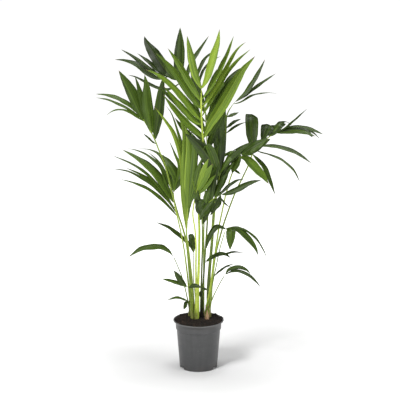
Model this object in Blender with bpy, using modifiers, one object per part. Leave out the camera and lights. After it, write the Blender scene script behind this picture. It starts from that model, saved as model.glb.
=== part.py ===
"""A clump of young feather palms growing in a grey nursery pot.

Metres, Z up.  The origin is the middle of the boss under the pot floor, on the
plane the pot rests on; -Y is the front.

Each frond is one grown leaf: a stalk, its rib and its leaflets in one body.
The fronds are drawn as a front elevation, seen from an eye point ahead of the
plant.  A drawn point is (across, height, depth) in centimetres: across and
height are measured in the upright plane through the pot's axis, and the point
is then moved along its own line of sight to the stated depth (+ is to the rear).
"""
import math

import bmesh
import bpy
from mathutils import Matrix, Vector

CM = 0.01
MM = 0.001
WELD = 0.02 * MM

# ---- eye of the front elevation
EYE = Vector((0.0, -5.17, 1.84))

# ---- pot
POT_HEIGHT = 180 * MM
LIP_RADIUS = 92.5 * MM
BASE_RADIUS = 68.6 * MM
WALL = 1.8 * MM
FLOOR_UNDERSIDE = 8.0 * MM
FLOOR_TOP = 10.5 * MM
BOSS_RADIUS = 18 * MM
POT_STEPS = 40
NOTCH_HEIGHT = 8.0 * MM
NOTCH_WIDTH = 29 * MM
NOTCH_ANGLES = (-118, -62, 62, 118)
DRAIN_RADIUS = 4.5 * MM
DRAIN_CIRCLE = 44 * MM
DRAIN_COUNT = 6

# ---- soil
GAP = 0.3 * MM
SOIL_EDGE = 173 * MM
SOIL_CROWN = 176 * MM
SOIL_RINGS = 5
SOIL_RADIUS = 84 * MM
SOIL_RIPPLE = 0.96 * MM

# ---- stems: the sheathed foot of each seedling, planted in the soil
STEM_TOP = 212.5 * MM
STEM_BOTTOM = 135 * MM
STEM_FOOT_RADIUS = 8.2 * MM
STEM_TOP_RADIUS = 7.4 * MM
STEM_SIDES = 14
STEMS = {
    "stem_left_rear": (-3.0, 3.2),
    "stem_left": (-2.15, 0.95),
    "stem_middle": (-0.6, 0.0),
    "stem_dark": (1.25, 3.4),
    "stem_tan": (3.1, 0.2),
    "stem_right_rear": (3.9, 2.9),
}

# ---- blades
BLADE_THICKNESS = 1.3 * MM
BLADE_FOLD = 0.16
BLADE_FULLNESS = 1.1
BLADE_OUTLINE = ((0.0, 0.30), (0.12, 0.62), (0.38, 1.0), (0.68, 0.86), (0.88, 0.48), (1.0, 0.07))
REACH_POWER = 1.3
STALK_RESOLUTION = 1
RING_SPACING = 0.055
MIN_RINGS = 3
MAX_RINGS = 5
MIN_COSINE = 0.3
FOOT_STEP = 0.035
FOOT_RISE = 4 * MM

MATERIALS = {
    "pot_grey": ((0.095, 0.095, 0.10, 1), 0.55),
    "soil_brown": ((0.022, 0.013, 0.009, 1), 0.95),
    "sheath_green": ((0.20, 0.26, 0.05, 1), 0.6),
    "sheath_dark": ((0.02, 0.018, 0.014, 1), 0.8),
    "sheath_tan": ((0.42, 0.27, 0.13, 1), 0.7),
    "leaf_bright": ((0.16, 0.30, 0.035, 1), 0.42),
    "leaf_mid": ((0.075, 0.16, 0.025, 1), 0.42),
    "leaf_dark": ((0.028, 0.065, 0.016, 1), 0.40),
}

# Each frond: name, material, stalk radius at foot and at end in mm,
# stalk points (across, height, depth), leaflets.
# Each leaflet: seen width, turn about its midrib in degrees, depth reach of the
# tip, then its midrib from the stalk outwards.  A midrib point may carry its
# own depth, measured from the foot of the leaflet.
FRONDS = (
    ("frond_crown", "leaf_bright", (4.2, 1.8), (
        (-0.25, 21.3, -0.35), (-0.2, 30, -1.0), (0.1, 38, -1.6), (0.25, 46, -2.3),
        (0.3, 52, -2.9), (0.1, 57, -3.4), (0.25, 62, -4.2), (0.8, 70, -5.6),
        (1.3, 78, -7.4), (1.6, 84, -9.0), (1.3, 88, -10.4), (1.0, 94, -12.8),
        (0.95, 100, -15.2), (1.1, 104.5, -17.0)), (
        (2.3, 20, -6, ((1.1, 103), (-1.0, 108), (-2.2, 113), (-3.3, 118), (-4.0, 121.8))),
        (2.3, -20, -7, ((1.2, 103), (2.7, 106.5), (3.9, 110.5), (5.2, 115), (6.6, 119.5), (7.4, 124.1))),
        (1.4, -45, -4, ((1.0, 99), (3.5, 103), (5.8, 107.2), (8.0, 111.5), (9.8, 115.2), (12.4, 121.8))),
        (1.3, -45, -2, ((1.0, 96), (4.5, 101.5), (9.0, 109.5), (12.3, 115.3), (14.5, 118), (16.7, 119.6))),
        (1.3, -40, 0, ((1.0, 93), (5.0, 100.5), (9.5, 108.2), (13.5, 113), (18.3, 117.1))),
        (3.2, -15, -3, ((1.6, 85), (4.0, 90.5), (7.2, 95.5), (10.5, 101), (13.0, 105.5), (15.8, 110), (19.9, 114.6))),
        (2.0, 20, -3, ((0.9, 98.5), (-2.2, 103.7), (-5.0, 108.7), (-8.0, 113.5), (-10.8, 117.4))),
        (2.0, 25, -2, ((0.9, 95), (-2.0, 99.5), (-6.0, 105.7), (-10, 111), (-15, 115.7))),
        (1.8, 30, -1, ((1.0, 91.5), (-2.0, 95), (-5.0, 99.3), (-9.0, 103.9), (-14, 107.9), (-18.7, 109.9))),
        (1.8, 30, 0, ((1.2, 88.5), (-1.5, 91.5), (-5.0, 95.7), (-9.0, 100.2), (-12.3, 104))),
        (1.9, 35, 1, ((1.5, 85.5), (-1.5, 88.5), (-5.0, 92), (-8.5, 96), (-12.5, 100.9))),
    )),
    ("frond_crown_rear", "leaf_mid", (2.9, 1.5), (
        (1.8, 21.3, 3.05), (1.9, 28, 2.6), (1.9, 36, 2.2), (1.9, 44, 1.6), (1.9, 50, 0.6),
        (2.0, 56, -0.4), (2.2, 62, -1.4), (2.6, 70, -2.4), (3.0, 78, -3.4), (3.0, 84, -4.2),
        (2.7, 90, -5.0), (2.4, 95, -5.8), (2.2, 99, -6.6)), (
        (1.8, -25, -3, ((2.3, 98), (3.6, 102), (5.2, 106.5), (6.4, 110))),
        (1.7, 25, -2, ((2.2, 97.5), (0.6, 101.5), (-1.4, 106), (-3.0, 110.5))),
        (1.8, -30, -2, ((2.4, 95), (4.5, 99.5), (7.0, 104.5), (9.0, 108.5), (10.5, 111.5))),
        (1.8, 25, -2, ((2.4, 94.5), (0.0, 98.5), (-3.0, 102.8), (-6.0, 107), (-8.5, 110.5))),
        (2.0, -30, -1, ((2.6, 91.5), (5.0, 96), (8.0, 101), (11, 105.5), (13.2, 108.5))),
        (1.8, 30, -1, ((2.6, 91), (-0.5, 94.5), (-4.0, 98.5), (-8.0, 102.5), (-12, 106))),
        (2.2, -25, -1, ((2.8, 88), (5.0, 92.5), (7.8, 97.5), (10.5, 102.5), (12.6, 107))),
        (1.8, 30, -1, ((2.8, 87.5), (0.0, 90.5), (-3.5, 94), (-7.5, 98), (-11.5, 101.5), (-14.5, 104))),
        (2.2, -20, 0, ((3.0, 84.5), (5.0, 88.5), (7.0, 93), (9.0, 98), (10.4, 102.5))),
        (1.9, 30, -2.5, ((3.0, 84), (0.5, 86.5), (-3.0, 89.7), (-6.5, 93.2), (-10, 97))),
        (2.0, -15, 0, ((3.0, 81), (4.6, 85), (6.2, 89.5), (7.4, 94))),
        (1.9, 25, 1, ((3.0, 80.5), (1.0, 82.6), (-2.0, 85.4), (-5.5, 89), (-8.5, 92.8))),
    )),
    ("frond_back", "leaf_dark", (3.5, 1.6), (
        (1.65, 21.3, 3.8), (1.7, 30, 4.4), (2.1, 38, 5.0), (2.5, 44, 5.5), (2.9, 50, 6.0),
        (3.25, 56, 6.8), (3.6, 62, 7.6), (3.9, 70, 9.0), (3.9, 80, 10.5), (3.5, 88, 11.6),
        (2.6, 94, 12.6), (1.0, 99, 13.6), (-1.5, 102.5, 14.6), (-5.0, 105, 15.8),
        (-9.0, 106.7, 17.0), (-12, 107.5, 18.0)), (
        (3.7, 15, 6, ((-9.5, 106.8), (-12.5, 111), (-15.5, 115.5), (-18, 119), (-19, 121.6))),
        (1.2, 45, 4, ((-11.7, 107.4), (-15, 108.8), (-19, 111.7), (-23, 114.6), (-27.2, 117))),
        (1.4, 45, 8, ((-10.8, 107.2), (-14.5, 107), (-18, 108.9), (-22, 112), (-26, 113.2), (-29.5, 113.4))),
        (0.8, 50, 5, ((-6.0, 105.4), (-10.5, 103), (-14.5, 103.6), (-18, 105.2), (-22, 107.2), (-25, 108))),
        (3.3, -10, 4, ((-5.6, 105.2), (-7.0, 108.5), (-6.9, 113), (-6.6, 118), (-6.4, 124.7))),
        (1.3, -40, 5, ((-3.6, 104.2), (-3.9, 109), (-2.0, 113.5), (0.3, 117), (3.7, 121.8))),
        (1.1, -45, 3, ((-2.4, 103.1), (-0.5, 108.5), (1.7, 113.2), (4.2, 115.5), (7.6, 116.6))),
        (0.8, -45, 2, ((-0.6, 101.6), (0.8, 108), (3.0, 111.6), (6.0, 113.7), (8.0, 114.6))),
        (1.6, -40, 1, ((0.8, 99.3), (4.0, 101), (8.5, 103.6), (11, 107), (13.5, 109.3), (16.2, 111))),
    )),
    ("frond_left", "leaf_mid", (4.0, 1.6), (
        (-2.55, 21.3, 1.25), (-2.65, 26, 1.2), (-3.0, 32, 1.0), (-3.5, 38, 0.5), (-4.0, 44, -0.3),
        (-4.7, 48.5, -1.0), (-5.9, 53, -1.8), (-7.2, 57, -2.4), (-8.6, 62, -2.6), (-9.9, 67, -2.4),
        (-11.2, 72.5, -2.0), (-12.5, 77, -1.5), (-14, 80.7, -1.0), (-15.3, 84.2, -0.4),
        (-16.7, 87.2, 0.0), (-18.5, 90.3, 0.6), (-20.5, 93.4, 1.3), (-22.3, 95.6, 2.0)), (
        (3.4, 15, 4, ((-19.2, 91.5), (-21.3, 97), (-23.8, 102.5), (-26.5, 107), (-28.1, 109.6))),
        (1.8, 25, 3, ((-17.8, 89), (-19, 95), (-20.2, 100.5), (-21.5, 105), (-22.4, 107.5))),
        (3.2, 10, 2, ((-16.6, 87.2), (-17.4, 93), (-18.1, 99), (-18.3, 104), (-19, 108.1))),
        (3.0, -15, 3, ((-15.3, 84.3), (-15, 90), (-14, 96), (-13.2, 102), (-12.2, 108))),
        (1.4, 45, 3, ((-20.5, 93.5), (-24, 97.3), (-28, 99.7), (-32, 100.9), (-36.4, 101.2))),
        (0.8, 50, 0, ((-19.5, 92.2), (-24.5, 95.8), (-28, 97.6), (-32, 99.2), (-36.4, 99.9))),
        (0.6, 55, -2, ((-19, 91.4), (-25, 95.1), (-28, 95.7), (-30.5, 95.1), (-32.8, 93.4))),
        (0.6, 55, -1, ((-14.9, 83.3), (-16.3, 84.2), (-17.8, 85.6), (-19.6, 86.9))),
    )),
    ("frond_right_high", "leaf_dark", (4.2, 1.6), (
        (3.95, 21.3, 3.4), (3.85, 28, 3.4), (4.1, 36, 3.3), (4.6, 42, 3.2), (5.0, 47, 3.1),
        (5.35, 53, 3.0), (5.7, 58, 2.9), (6.2, 62.5, 2.8), (6.6, 67, 2.8), (7.1, 71, 2.8),
        (8.1, 75, 3.0), (9.2, 79, 3.2), (9.6, 84, 3.8), (9.8, 90, 4.6), (10.2, 94, 5.2),
        (12, 97.2, 5.8), (14, 99.6, 6.4)), (
        (1.4, -40, 3, ((13.3, 98.7), (16, 101.2), (18.8, 105.2), (21, 108.9), (23.4, 113.5))),
        (1.0, -50, 5, ((13, 98.4), (16, 100.6), (19, 103), (23, 105.8), (27.3, 108.5))),
        (0.6, -60, 7, ((12.3, 97.6), (15, 98.5), (19, 100.9), (24, 101.7), (28, 101.3))),
        (1.0, -40, 2, ((10.2, 93), (12, 93.9), (14.3, 94.6))),
        (1.0, -40, 3, ((9.9, 89.5), (12.5, 91.3), (15.2, 92.3))),
        (0.8, -40, 4, ((9.8, 87), (12.3, 89.2), (14.5, 90.4), (16.8, 91.1))),
        (3.2, 20, -2, ((9.2, 79.5), (8.3, 84), (7.6, 89), (7.9, 94), (9.0, 99))),
        (2.2, 30, -1, ((8.8, 78), (7.3, 81), (6.5, 85), (5.8, 90), (5.4, 94.5))),
        (3.0, 10, 1, ((9.7, 86), (8.5, 92), (7.6, 98), (7.8, 103), (9.0, 108.5))),
    )),
    ("frond_right_arching", "leaf_dark", (3.1, 1.4), (
        (3.5, 21.3, 0.65), (4.4, 27, 1.0), (4.9, 32, 1.15), (5.3, 36, 1.25), (5.8, 40, 1.35),
        (6.4, 43.5, 1.4), (8.0, 50, 1.5), (9.5, 55.2, 1.6), (11.5, 61, 1.7), (13, 65, 1.8),
        (14.5, 68.3, 1.9), (16.1, 71.7, 2.0), (17.7, 75.2, 2.1), (18.7, 78, 2.2),
        (19.4, 80.5, 2.5), (21, 82.6, 3.0), (24, 85, 3.5), (27, 87, 4.0), (29.5, 88.2, 4.5)), (
        (3.9, 10, 0, ((19.6, 81), (19.2, 85, -1), (19.1, 89, 0), (19.0, 92.3, 2), (18.9, 94, 5),
                      (18.8, 93, 9), (18.7, 90, 12.5))),
        (3.2, -10, 0, ((22.5, 83.8), (23.2, 86.5, 0), (23.9, 89, 1), (24.2, 90.5, 4), (24.4, 89.5, 8),
                       (24.6, 86.5, 11))),
        (1.5, -40, 0, ((25.5, 86), (27, 88.5, 1), (28.5, 90.7, 2), (29.9, 91.5, 4), (31.8, 91.0, 6),
                       (33.2, 89.8, 8))),
        (0.7, -60, -3, ((27, 87), (30, 88.7), (33, 91.2), (36, 93.8), (38.5, 96))),
        (1.2, -50, -5, ((28.5, 87.8), (32, 89.2), (36, 89.4), (40, 88.6), (44.3, 86.7))),
        (0.8, -50, -2, ((29.3, 88), (34, 88.8), (38.5, 88.4), (41, 87.2), (43.1, 85))),
        (1.3, -50, -8, ((27.5, 87.3), (31, 87.8), (34.5, 88.1), (38, 87.5), (41.5, 85.9))),
        (1.0, -55, -10, ((20.8, 82.3), (23.5, 82.8), (27, 82.7), (31, 81.8), (35.5, 79.8), (40.4, 76.1))),
        (0.6, -65, -13, ((19.6, 80.6), (22.5, 80.3), (26, 79.4), (30, 77.5), (34, 73.8), (36.4, 69.1))),
        (1.4, -30, -5, ((19.4, 80), (21.3, 77.6), (23.6, 75), (25.2, 71.3), (27.5, 64.6))),
        (0.9, 50, 5, ((20, 81.6), (17.8, 83.4), (15, 82.4), (12.2, 80.8), (9.8, 79))),
        (1.7, 45, 3, ((21, 82.6), (18.5, 82.4), (15.5, 81), (12.7, 79.2), (10.5, 77))),
    )),
    ("frond_right_low", "leaf_mid", (3.0, 1.5), (
        (2.7, 21.3, 0.6), (3.3, 24.5, 0.55), (4.0, 28, 0.4), (4.6, 32, 0.2), (5.1, 36, 0.0),
        (5.5, 40, -0.2), (6.1, 43.5, -0.4), (7.0, 50, -0.8), (7.7, 54.5, -1.1), (8.6, 59, -1.3),
        (9.4, 63, -1.6), (10.3, 66.6, -1.9), (11.1, 69.8, -2.2), (12.2, 73, -2.6), (13, 75.4, -3.0),
        (14, 77.6, -3.3), (15.5, 79.5, -3.6)), (
        (2.6, -20, -3, ((14.6, 78.5), (16.8, 78.2), (18.8, 76.6), (21.5, 73.6), (23.6, 71), (25.1, 68.6))),
        (2.6, 10, -1, ((12.4, 73.5), (13, 75.5), (13.9, 77.8), (14.9, 80.2))),
        (1.8, -40, -1, ((15.3, 79.3), (18, 80.8), (21, 82.6), (24.5, 84.8))),
        (0.8, -45, -3, ((12.7, 74.4), (13.7, 73.4), (15.1, 72.1))),
    )),
    ("frond_cross", "leaf_dark", (3.5, 1.7), (
        (3.5, 21.3, 2.6), (3.3, 28, 2.4), (3.7, 36, 1.8), (4.2, 42, 1.0), (4.7, 48, 0.0),
        (5.0, 54, -1.8), (5.4, 59, -3.2), (6.0, 63, -4.6), (6.7, 67, -6.0), (7.3, 70.5, -7.0),
        (7.9, 73, -7.6)), (
        (3.6, 20, -7, ((7.2, 70), (5.5, 74.5), (3.0, 79), (0.0, 82.8), (-4.9, 87.1))),
        (2.6, 10, 0, ((7.5, 71.3), (6.3, 75.5, -1), (5.0, 79.5, -2), (3.7, 82, -4), (2.5, 82.6, -6),
                      (1.8, 81, -8))),
        (1.6, -35, 2, ((7.8, 72.6), (9.2, 75.6), (11.2, 78.3), (14.2, 80.8), (18, 83.8))),
        (1.5, -30, 0, ((7.1, 69.5), (9.0, 71.5), (10.5, 74), (12.7, 76.8))),
        (1.5, 10, 1, ((7.7, 72.3), (7.6, 76), (7.8, 80.5), (8.2, 86.3))),
        (2.4, 15, -5, ((6.4, 66), (5.0, 69.5), (3.0, 73), (0.8, 76.5))),
    )),
    ("frond_left_narrow", "leaf_mid", (3.2, 1.6), (
        (-2.65, 21.3, 3.55), (-3.2, 26, 3.5), (-3.75, 32, 3.3), (-4.4, 38, 3.0), (-5.3, 45, 2.6),
        (-6.4, 51, 2.2), (-7.5, 56, 2.0), (-8.2, 59, 2.2), (-8.8, 63, 2.7), (-8.8, 67, 3.2)), (
        (0.9, 50, 4, ((-8.2, 59.3), (-10.5, 62.8), (-14, 67.8), (-19, 73), (-24, 76.2), (-30.8, 79.1))),
        (0.9, 50, 1, ((-8.0, 58.2), (-11, 62.8), (-15.5, 67.6), (-20, 70.8), (-25, 73.3), (-31, 74.3))),
        (1.0, 50, -2, ((-7.6, 56.8), (-10, 59.9), (-13.5, 63.6), (-18, 67), (-23, 69.1), (-28, 70.4))),
        (2.0, 30, 6, ((-8.6, 61.5), (-10.8, 65.3), (-13.5, 70), (-17, 74.3), (-21.5, 78), (-27.3, 81.3))),
        (1.0, 40, 9, ((-8.8, 63.5), (-11.2, 68.5), (-13.3, 74.7), (-17.5, 78.8), (-21.5, 80.8), (-25.5, 81.7))),
        (1.1, 40, 11, ((-8.8, 65.5), (-10.5, 73), (-13.5, 79), (-17, 81.2), (-21.9, 81.5))),
        (3.2, 25, 8, ((-8.8, 66.5), (-7.3, 70), (-9.0, 74.5), (-11.5, 77.6), (-14.8, 80.3))),
        (1.2, 40, 9, ((-8.8, 67), (-6.9, 71.5), (-6.7, 75.5), (-8.3, 79.7), (-10.4, 84.3))),
        (0.8, 45, 7, ((-8.9, 64.5), (-11.5, 72), (-14, 76.7), (-18.4, 80.7))),
    )),
    ("frond_centre_tall", "leaf_bright", (3.7, 2.0), (
        (-1.7, 21.3, 1.15), (-2.0, 28, 0.9), (-2.5, 34, 0.4), (-3.1, 40, -0.6), (-3.8, 46, -2.2),
        (-4.3, 50, -3.4), (-4.1, 55, -3.8), (-3.9, 61, -4.2)), (
        (1.7, 30, -2, ((-4.3, 51), (-5.3, 66), (-5.5, 76), (-8.3, 86), (-11.5, 91.3), (-15.9, 97))),
        (1.1, 40, 0, ((-4.3, 52), (-4.9, 68), (-5.3, 80), (-7.4, 88), (-9.6, 94.3), (-11.8, 97.2))),
        (2.2, 20, -3, ((-4.2, 53.6), (-4.8, 70), (-4.7, 82), (-5.3, 89), (-7.8, 95))),
        (2.6, 5, -4, ((-4.1, 55), (-3.7, 68), (-3.3, 79), (-3.6, 85), (-5.0, 91))),
        (2.4, -5, -4, ((-4.0, 57), (-2.6, 68), (-1.6, 77), (-1.7, 83), (-2.6, 88))),
        (2.2, -15, -4, ((-3.9, 60), (-1.6, 67.5), (-0.3, 73), (0.6, 76), (1.5, 78.6))),
    )),
    ("frond_centre_dark", "leaf_dark", (3.3, 1.6), (
        (0.9, 21.3, 3.7), (1.0, 30, 2.2), (1.2, 38, 0.0), (1.4, 46, -3.0), (1.4, 52, -6.2),
        (1.3, 56, -8.0), (2.2, 59.5, -9.2), (4.0, 62, -10.0), (6.5, 63.8, -10.5), (9.0, 65, -11.0)), (
        (1.8, -35, -1, ((8.3, 64.7), (12, 66), (15, 67.5), (18.5, 69.2), (22.6, 70.1))),
        (1.0, -45, 2, ((6.5, 63.8), (9.0, 66.5), (11.5, 68.7), (14, 70.1), (16.4, 70.4))),
        (0.6, -50, -4, ((7.5, 64.3), (9.0, 62.3), (10.2, 60.9), (11.4, 60))),
        (1.2, -20, -2, ((5.0, 62.7), (7.3, 62.6), (7.3, 61), (6.2, 59.1))),
        (2.4, 15, -2, ((1.5, 57), (0.6, 59), (0.0, 61), (-1.3, 62.8))),
        (2.8, 0, 0, ((1.7, 58), (1.4, 60, -1.0), (1.6, 62, -1.0), (1.9, 63, 0.4), (2.2, 62.4, 1.8))),
        (1.5, -20, 1, ((3.6, 61.6), (4.0, 64), (4.3, 67), (5.2, 69.3))),
        (1.8, -25, 2, ((6.0, 63.5), (7.0, 67), (8.5, 70.5), (10.5, 72.8))),
        (1.6, -15, 0.5, ((4.6, 62.5), (5.0, 67), (6.0, 72), (7.4, 76.5))),
    )),
    ("frond_centre_small", "leaf_bright", (2.9, 1.6), (
        (-1.0, 21.3, -0.3), (-0.9, 30, -0.6), (-0.95, 38, -1.1), (-0.9, 46, -2.0), (-1.3, 52, -3.4),
        (-2.0, 57, -5.2), (-1.7, 61, -6.8), (-0.8, 65.3, -8.5), (-0.3, 67.3, -9.0)), (
        (1.7, -23, -6, ((-0.6, 66), (0.3, 69), (1.9, 74), (3.6, 77.9))),
        (2.2, -20, -7, ((-0.7, 65.5), (1.3, 69.5), (3.3, 73), (5.1, 76))),
        (1.6, -28, -6.2, ((-0.9, 64.8), (1.2, 66.5), (3.8, 69.5), (6.2, 72))),
        (0.6, 50, -3, ((-0.8, 65.4), (-1.4, 68), (-2.2, 71.8))),
    )),
    ("leaf_left_arch", "leaf_dark", (1.7, 1.1), (
        (-3.4, 21.3, 3.55), (-3.9, 25, 3.3), (-4.6, 28.5, 2.8), (-5.3, 31.4, 2.0), (-6.1, 34.3, 1.0),
        (-7.1, 37, -0.2), (-8.1, 39.5, -1.4), (-9.3, 42.3, -2.8)), (
        (1.3, 55, -4, ((-9.3, 42.3), (-11, 44.2), (-13.5, 45.6), (-17, 45.6), (-21, 44.7), (-25.4, 41.5))),
        (1.0, 50, 5, ((-9.1, 41.9), (-11, 44.5), (-13.2, 46), (-15.5, 46.3), (-18.2, 45.8))),
    )),
    ("leaf_left_mid", "leaf_dark", (1.6, 1.1), (
        (-0.65, 21.3, 0.42), (-1.3, 28, 1.1), (-1.85, 34, 1.7), (-1.75, 40, 2.1), (-1.8, 44, 2.5),
        (-2.4, 46.2, 2.8), (-3.4, 47.6, 3.1)), (
        (0.9, 45, 3, ((-3.2, 47.3), (-5.2, 48.2), (-8.0, 50.8), (-11, 52.9), (-15.5, 54.6))),
        (1.8, 0, 0, ((-2.1, 45.4), (-2.3, 47.5, 0.5), (-2.6, 49.3, 1.0), (-2.9, 50.2, 2.5), (-3.2, 49.4, 4.5))),
    )),
    ("leaf_left_low", "leaf_dark", (1.9, 1.2), (
        (-2.15, 21.3, 0.4), (-2.35, 24.5, -0.8), (-2.8, 27.5, -2.2), (-3.5, 29.8, -3.6), (-4.6, 30.5, -4.6)), (
        (1.9, 20, -3, ((-4.2, 30.3), (-5.6, 31.8), (-7.2, 34), (-9.0, 36.5))),
        (1.1, 40, -2, ((-4.5, 30.4), (-7.0, 31.7), (-10, 32.7), (-13.6, 33.4))),
        (1.3, -10, -2, ((-3.6, 29.9), (-2.0, 30.7), (-0.5, 30.6), (1.2, 29.9))),
    )),
    ("leaf_left_bottom", "leaf_dark", (1.6, 1.1), (
        (-3.0, 21.3, 2.75), (-3.25, 23.3, 2.2), (-3.5, 24.9, 1.6)), (
        (0.6, 60, -4, ((-3.5, 24.6), (-5.0, 25.6), (-7.8, 26.4), (-11.4, 25.3))),
        (1.1, 20, -3, ((-3.5, 24.8), (-4.5, 24.3), (-4.8, 23.2), (-5.4, 21.6))),
    )),
    ("leaf_right_arch", "leaf_dark", (1.8, 1.2), (
        (2.65, 21.3, -0.25), (3.5, 24, -0.9), (4.4, 27.3, -1.6), (5.4, 33, -3.0), (6.4, 38, -4.5),
        (7.5, 43.6, -6.0), (8.4, 47.2, -7.0), (9.5, 50.9, -8.0), (10.2, 52.6, -8.6)), (
        (1.4, 40, -3, ((9.9, 52), (8.2, 52.9), (6.6, 53), (5.0, 51.4), (3.6, 48.5), (2.7, 44.4))),
        (2.7, 4, 0, ((10.1, 52.4), (11.3, 52.4, -2), (11.6, 51, -4), (11.5, 48, -5), (11.4, 44.1, -5.5))),
        (0.7, -60, -2, ((10.2, 52.6), (13, 52.8), (17, 51.8), (21, 48.5), (23.7, 43.9), (24.8, 40.6))),
        (1.8, -25, -5, ((10, 52.3), (14, 52.2), (16.9, 49.8), (19.3, 47), (20.9, 44.3), (21.5, 42))),
    )),
    ("leaf_right_mid", "leaf_dark", (1.8, 1.2), (
        (1.25, 21.3, 2.85), (1.25, 26, 1.0), (1.5, 31, -1.3), (1.9, 35, -3.1), (2.1, 38, -4.5),
        (2.7, 40.2, -5.6)), (
        (1.2, -35, -3, ((2.6, 40), (4.6, 41.5), (7.5, 42.8), (9.8, 42.6), (11.7, 41.1))),
        (0.6, -60, -6, ((2.4, 39.5), (6.0, 42.2), (9.5, 42.8), (12.5, 43.5), (16.6, 43.2))),
        (0.8, -20, -1, ((1.45, 30), (2.4, 29.5), (3.2, 29.1))),
        (1.1, 10, -1, ((1.4, 29), (0.9, 28), (0.6, 26.3))),
    )),
    ("leaf_right_spike", "leaf_dark", (1.6, 1.1), (
        (4.3, 21.3, 2.5), (4.8, 26, 3.2), (5.1, 31, 4.0), (5.7, 34.7, 4.6)), (
        (0.7, -50, 5, ((5.6, 34.3), (7.5, 36.3), (10, 38.1), (13.3, 39.2))),
        (0.6, -60, 9, ((5.7, 34.6), (8.0, 37), (11, 38.1), (13.2, 37.5))),
    )),
    ("leaf_right_low", "leaf_dark", (1.6, 1.1), (
        (3.55, 21.3, -0.3), (4.4, 24, -1.2), (5.0, 25.6, -1.8), (6.0, 28, -2.7), (7.3, 30.7, -3.8),
        (8.5, 33, -4.9), (9.8, 35.2, -6.0)), (
        (1.1, -35, -3, ((9.8, 35.2), (11, 36.9), (14.5, 37.8), (17.3, 36.8), (18.9, 35.1))),
        (0.8, -45, -7, ((9.6, 34.9), (12, 36.2), (15, 36.3), (18.5, 34.6), (21, 32.2), (22.7, 29.9))),
    )),
)


def new_collection(name):
    """A collection of that name under the scene."""
    collection = bpy.data.collections.new(name)
    bpy.context.scene.collection.children.link(collection)
    return collection


def make_material(name):
    """A Principled material with the listed colour and roughness."""
    colour, roughness = MATERIALS[name]
    material = bpy.data.materials.new(name)
    material.use_nodes = True
    shader = material.node_tree.nodes["Principled BSDF"]
    shader.inputs["Base Color"].default_value = colour
    shader.inputs["Roughness"].default_value = roughness
    material.diffuse_color = colour
    return material


def add_object(name, mesh, collection):
    """An object holding the mesh, at the origin."""
    obj = bpy.data.objects.new(name, mesh)
    collection.objects.link(obj)
    return obj


def baked_mesh(obj):
    """The mesh an object has once its modifiers are worked out."""
    bpy.context.view_layer.update()
    evaluated = obj.evaluated_get(bpy.context.evaluated_depsgraph_get())
    mesh = bpy.data.meshes.new_from_object(evaluated)
    mesh.transform(obj.matrix_world)
    return mesh


def weld(mesh):
    """Merge coincident vertices and turn the faces outwards."""
    work = bmesh.new()
    work.from_mesh(mesh)
    bmesh.ops.remove_doubles(work, verts=work.verts, dist=WELD)
    bmesh.ops.recalc_face_normals(work, faces=work.faces)
    work.to_mesh(mesh)
    work.free()


def finish_object(name, mesh, material):
    """A named part of the palm, with smooth shading and its own material."""
    obj = add_object(name, mesh, PALM)
    mesh.materials.clear()
    mesh.materials.append(make_material_for(name, material))
    mesh.shade_smooth()
    return obj


def make_material_for(name, material):
    """The part's own copy of a listed material."""
    own = make_material(material)
    own.name = name + "_" + material
    return own


def lathe(name, profile, steps, collection):
    """A solid of revolution about Z from (radius, height) points, in metres."""
    mesh = bpy.data.meshes.new(name)
    points = [(radius, 0.0, height) for radius, height in profile]
    edges = [(index, index + 1) for index in range(len(points) - 1)]
    mesh.from_pydata(points, edges, [])
    obj = add_object(name, mesh, collection)
    screw = obj.modifiers.new("turn", "SCREW")
    screw.axis = "Z"
    screw.steps = steps
    screw.render_steps = steps
    screw.use_merge_vertices = True
    screw.merge_threshold = 0.00005
    screw.use_normal_calculate = False
    return obj


def cut(target, cutter):
    """Subtract a solid from another."""
    boolean = target.modifiers.new("cut_" + cutter.name, "BOOLEAN")
    boolean.operation = "DIFFERENCE"
    boolean.solver = "EXACT"
    boolean.object = cutter


def add_cutter(name, mesh):
    """A hidden solid used only to cut others."""
    cutter = add_object(name, mesh, CUTTERS)
    cutter.hide_render = True
    cutter.display_type = "WIRE"
    return cutter


def box_mesh(name, size, transform):
    """A box of the given side lengths, moved by a matrix."""
    work = bmesh.new()
    bmesh.ops.create_cube(work, size=1.0)
    bmesh.ops.scale(work, verts=work.verts, vec=size)
    bmesh.ops.transform(work, verts=work.verts, matrix=transform)
    mesh = bpy.data.meshes.new(name)
    work.to_mesh(mesh)
    work.free()
    return mesh


def rod_mesh(name, radius, low, high, centre, sides):
    """An upright round rod between two heights."""
    work = bmesh.new()
    middle = Matrix.Translation((centre[0], centre[1], 0.5 * (low + high)))
    bmesh.ops.create_cone(work, cap_ends=True, segments=sides, radius1=radius,
                          radius2=radius, depth=high - low, matrix=middle)
    mesh = bpy.data.meshes.new(name)
    work.to_mesh(mesh)
    work.free()
    return mesh


# ---------------------------------------------------------------- the pot

# Outer wall from the lip down to the foot, as (radius, height).
POT_OUTER = [
    (LIP_RADIUS - 3.0 * MM, POT_HEIGHT),
    (LIP_RADIUS - 1.0 * MM, POT_HEIGHT),
    (LIP_RADIUS, 178.8 * MM),
    (LIP_RADIUS - 0.2 * MM, 176.0 * MM),
    (90.5 * MM, 174.6 * MM),
    (86.5 * MM, 171.0 * MM),
    (84.2 * MM, 166.5 * MM),
    (83.5 * MM, 152.0 * MM),
    (79.6 * MM, 143.5 * MM),
    (78.6 * MM, 123.0 * MM),
    (77.4 * MM, 121.0 * MM),
    (77.9 * MM, 119.0 * MM),
    (BASE_RADIUS, 0.0),
]

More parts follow.
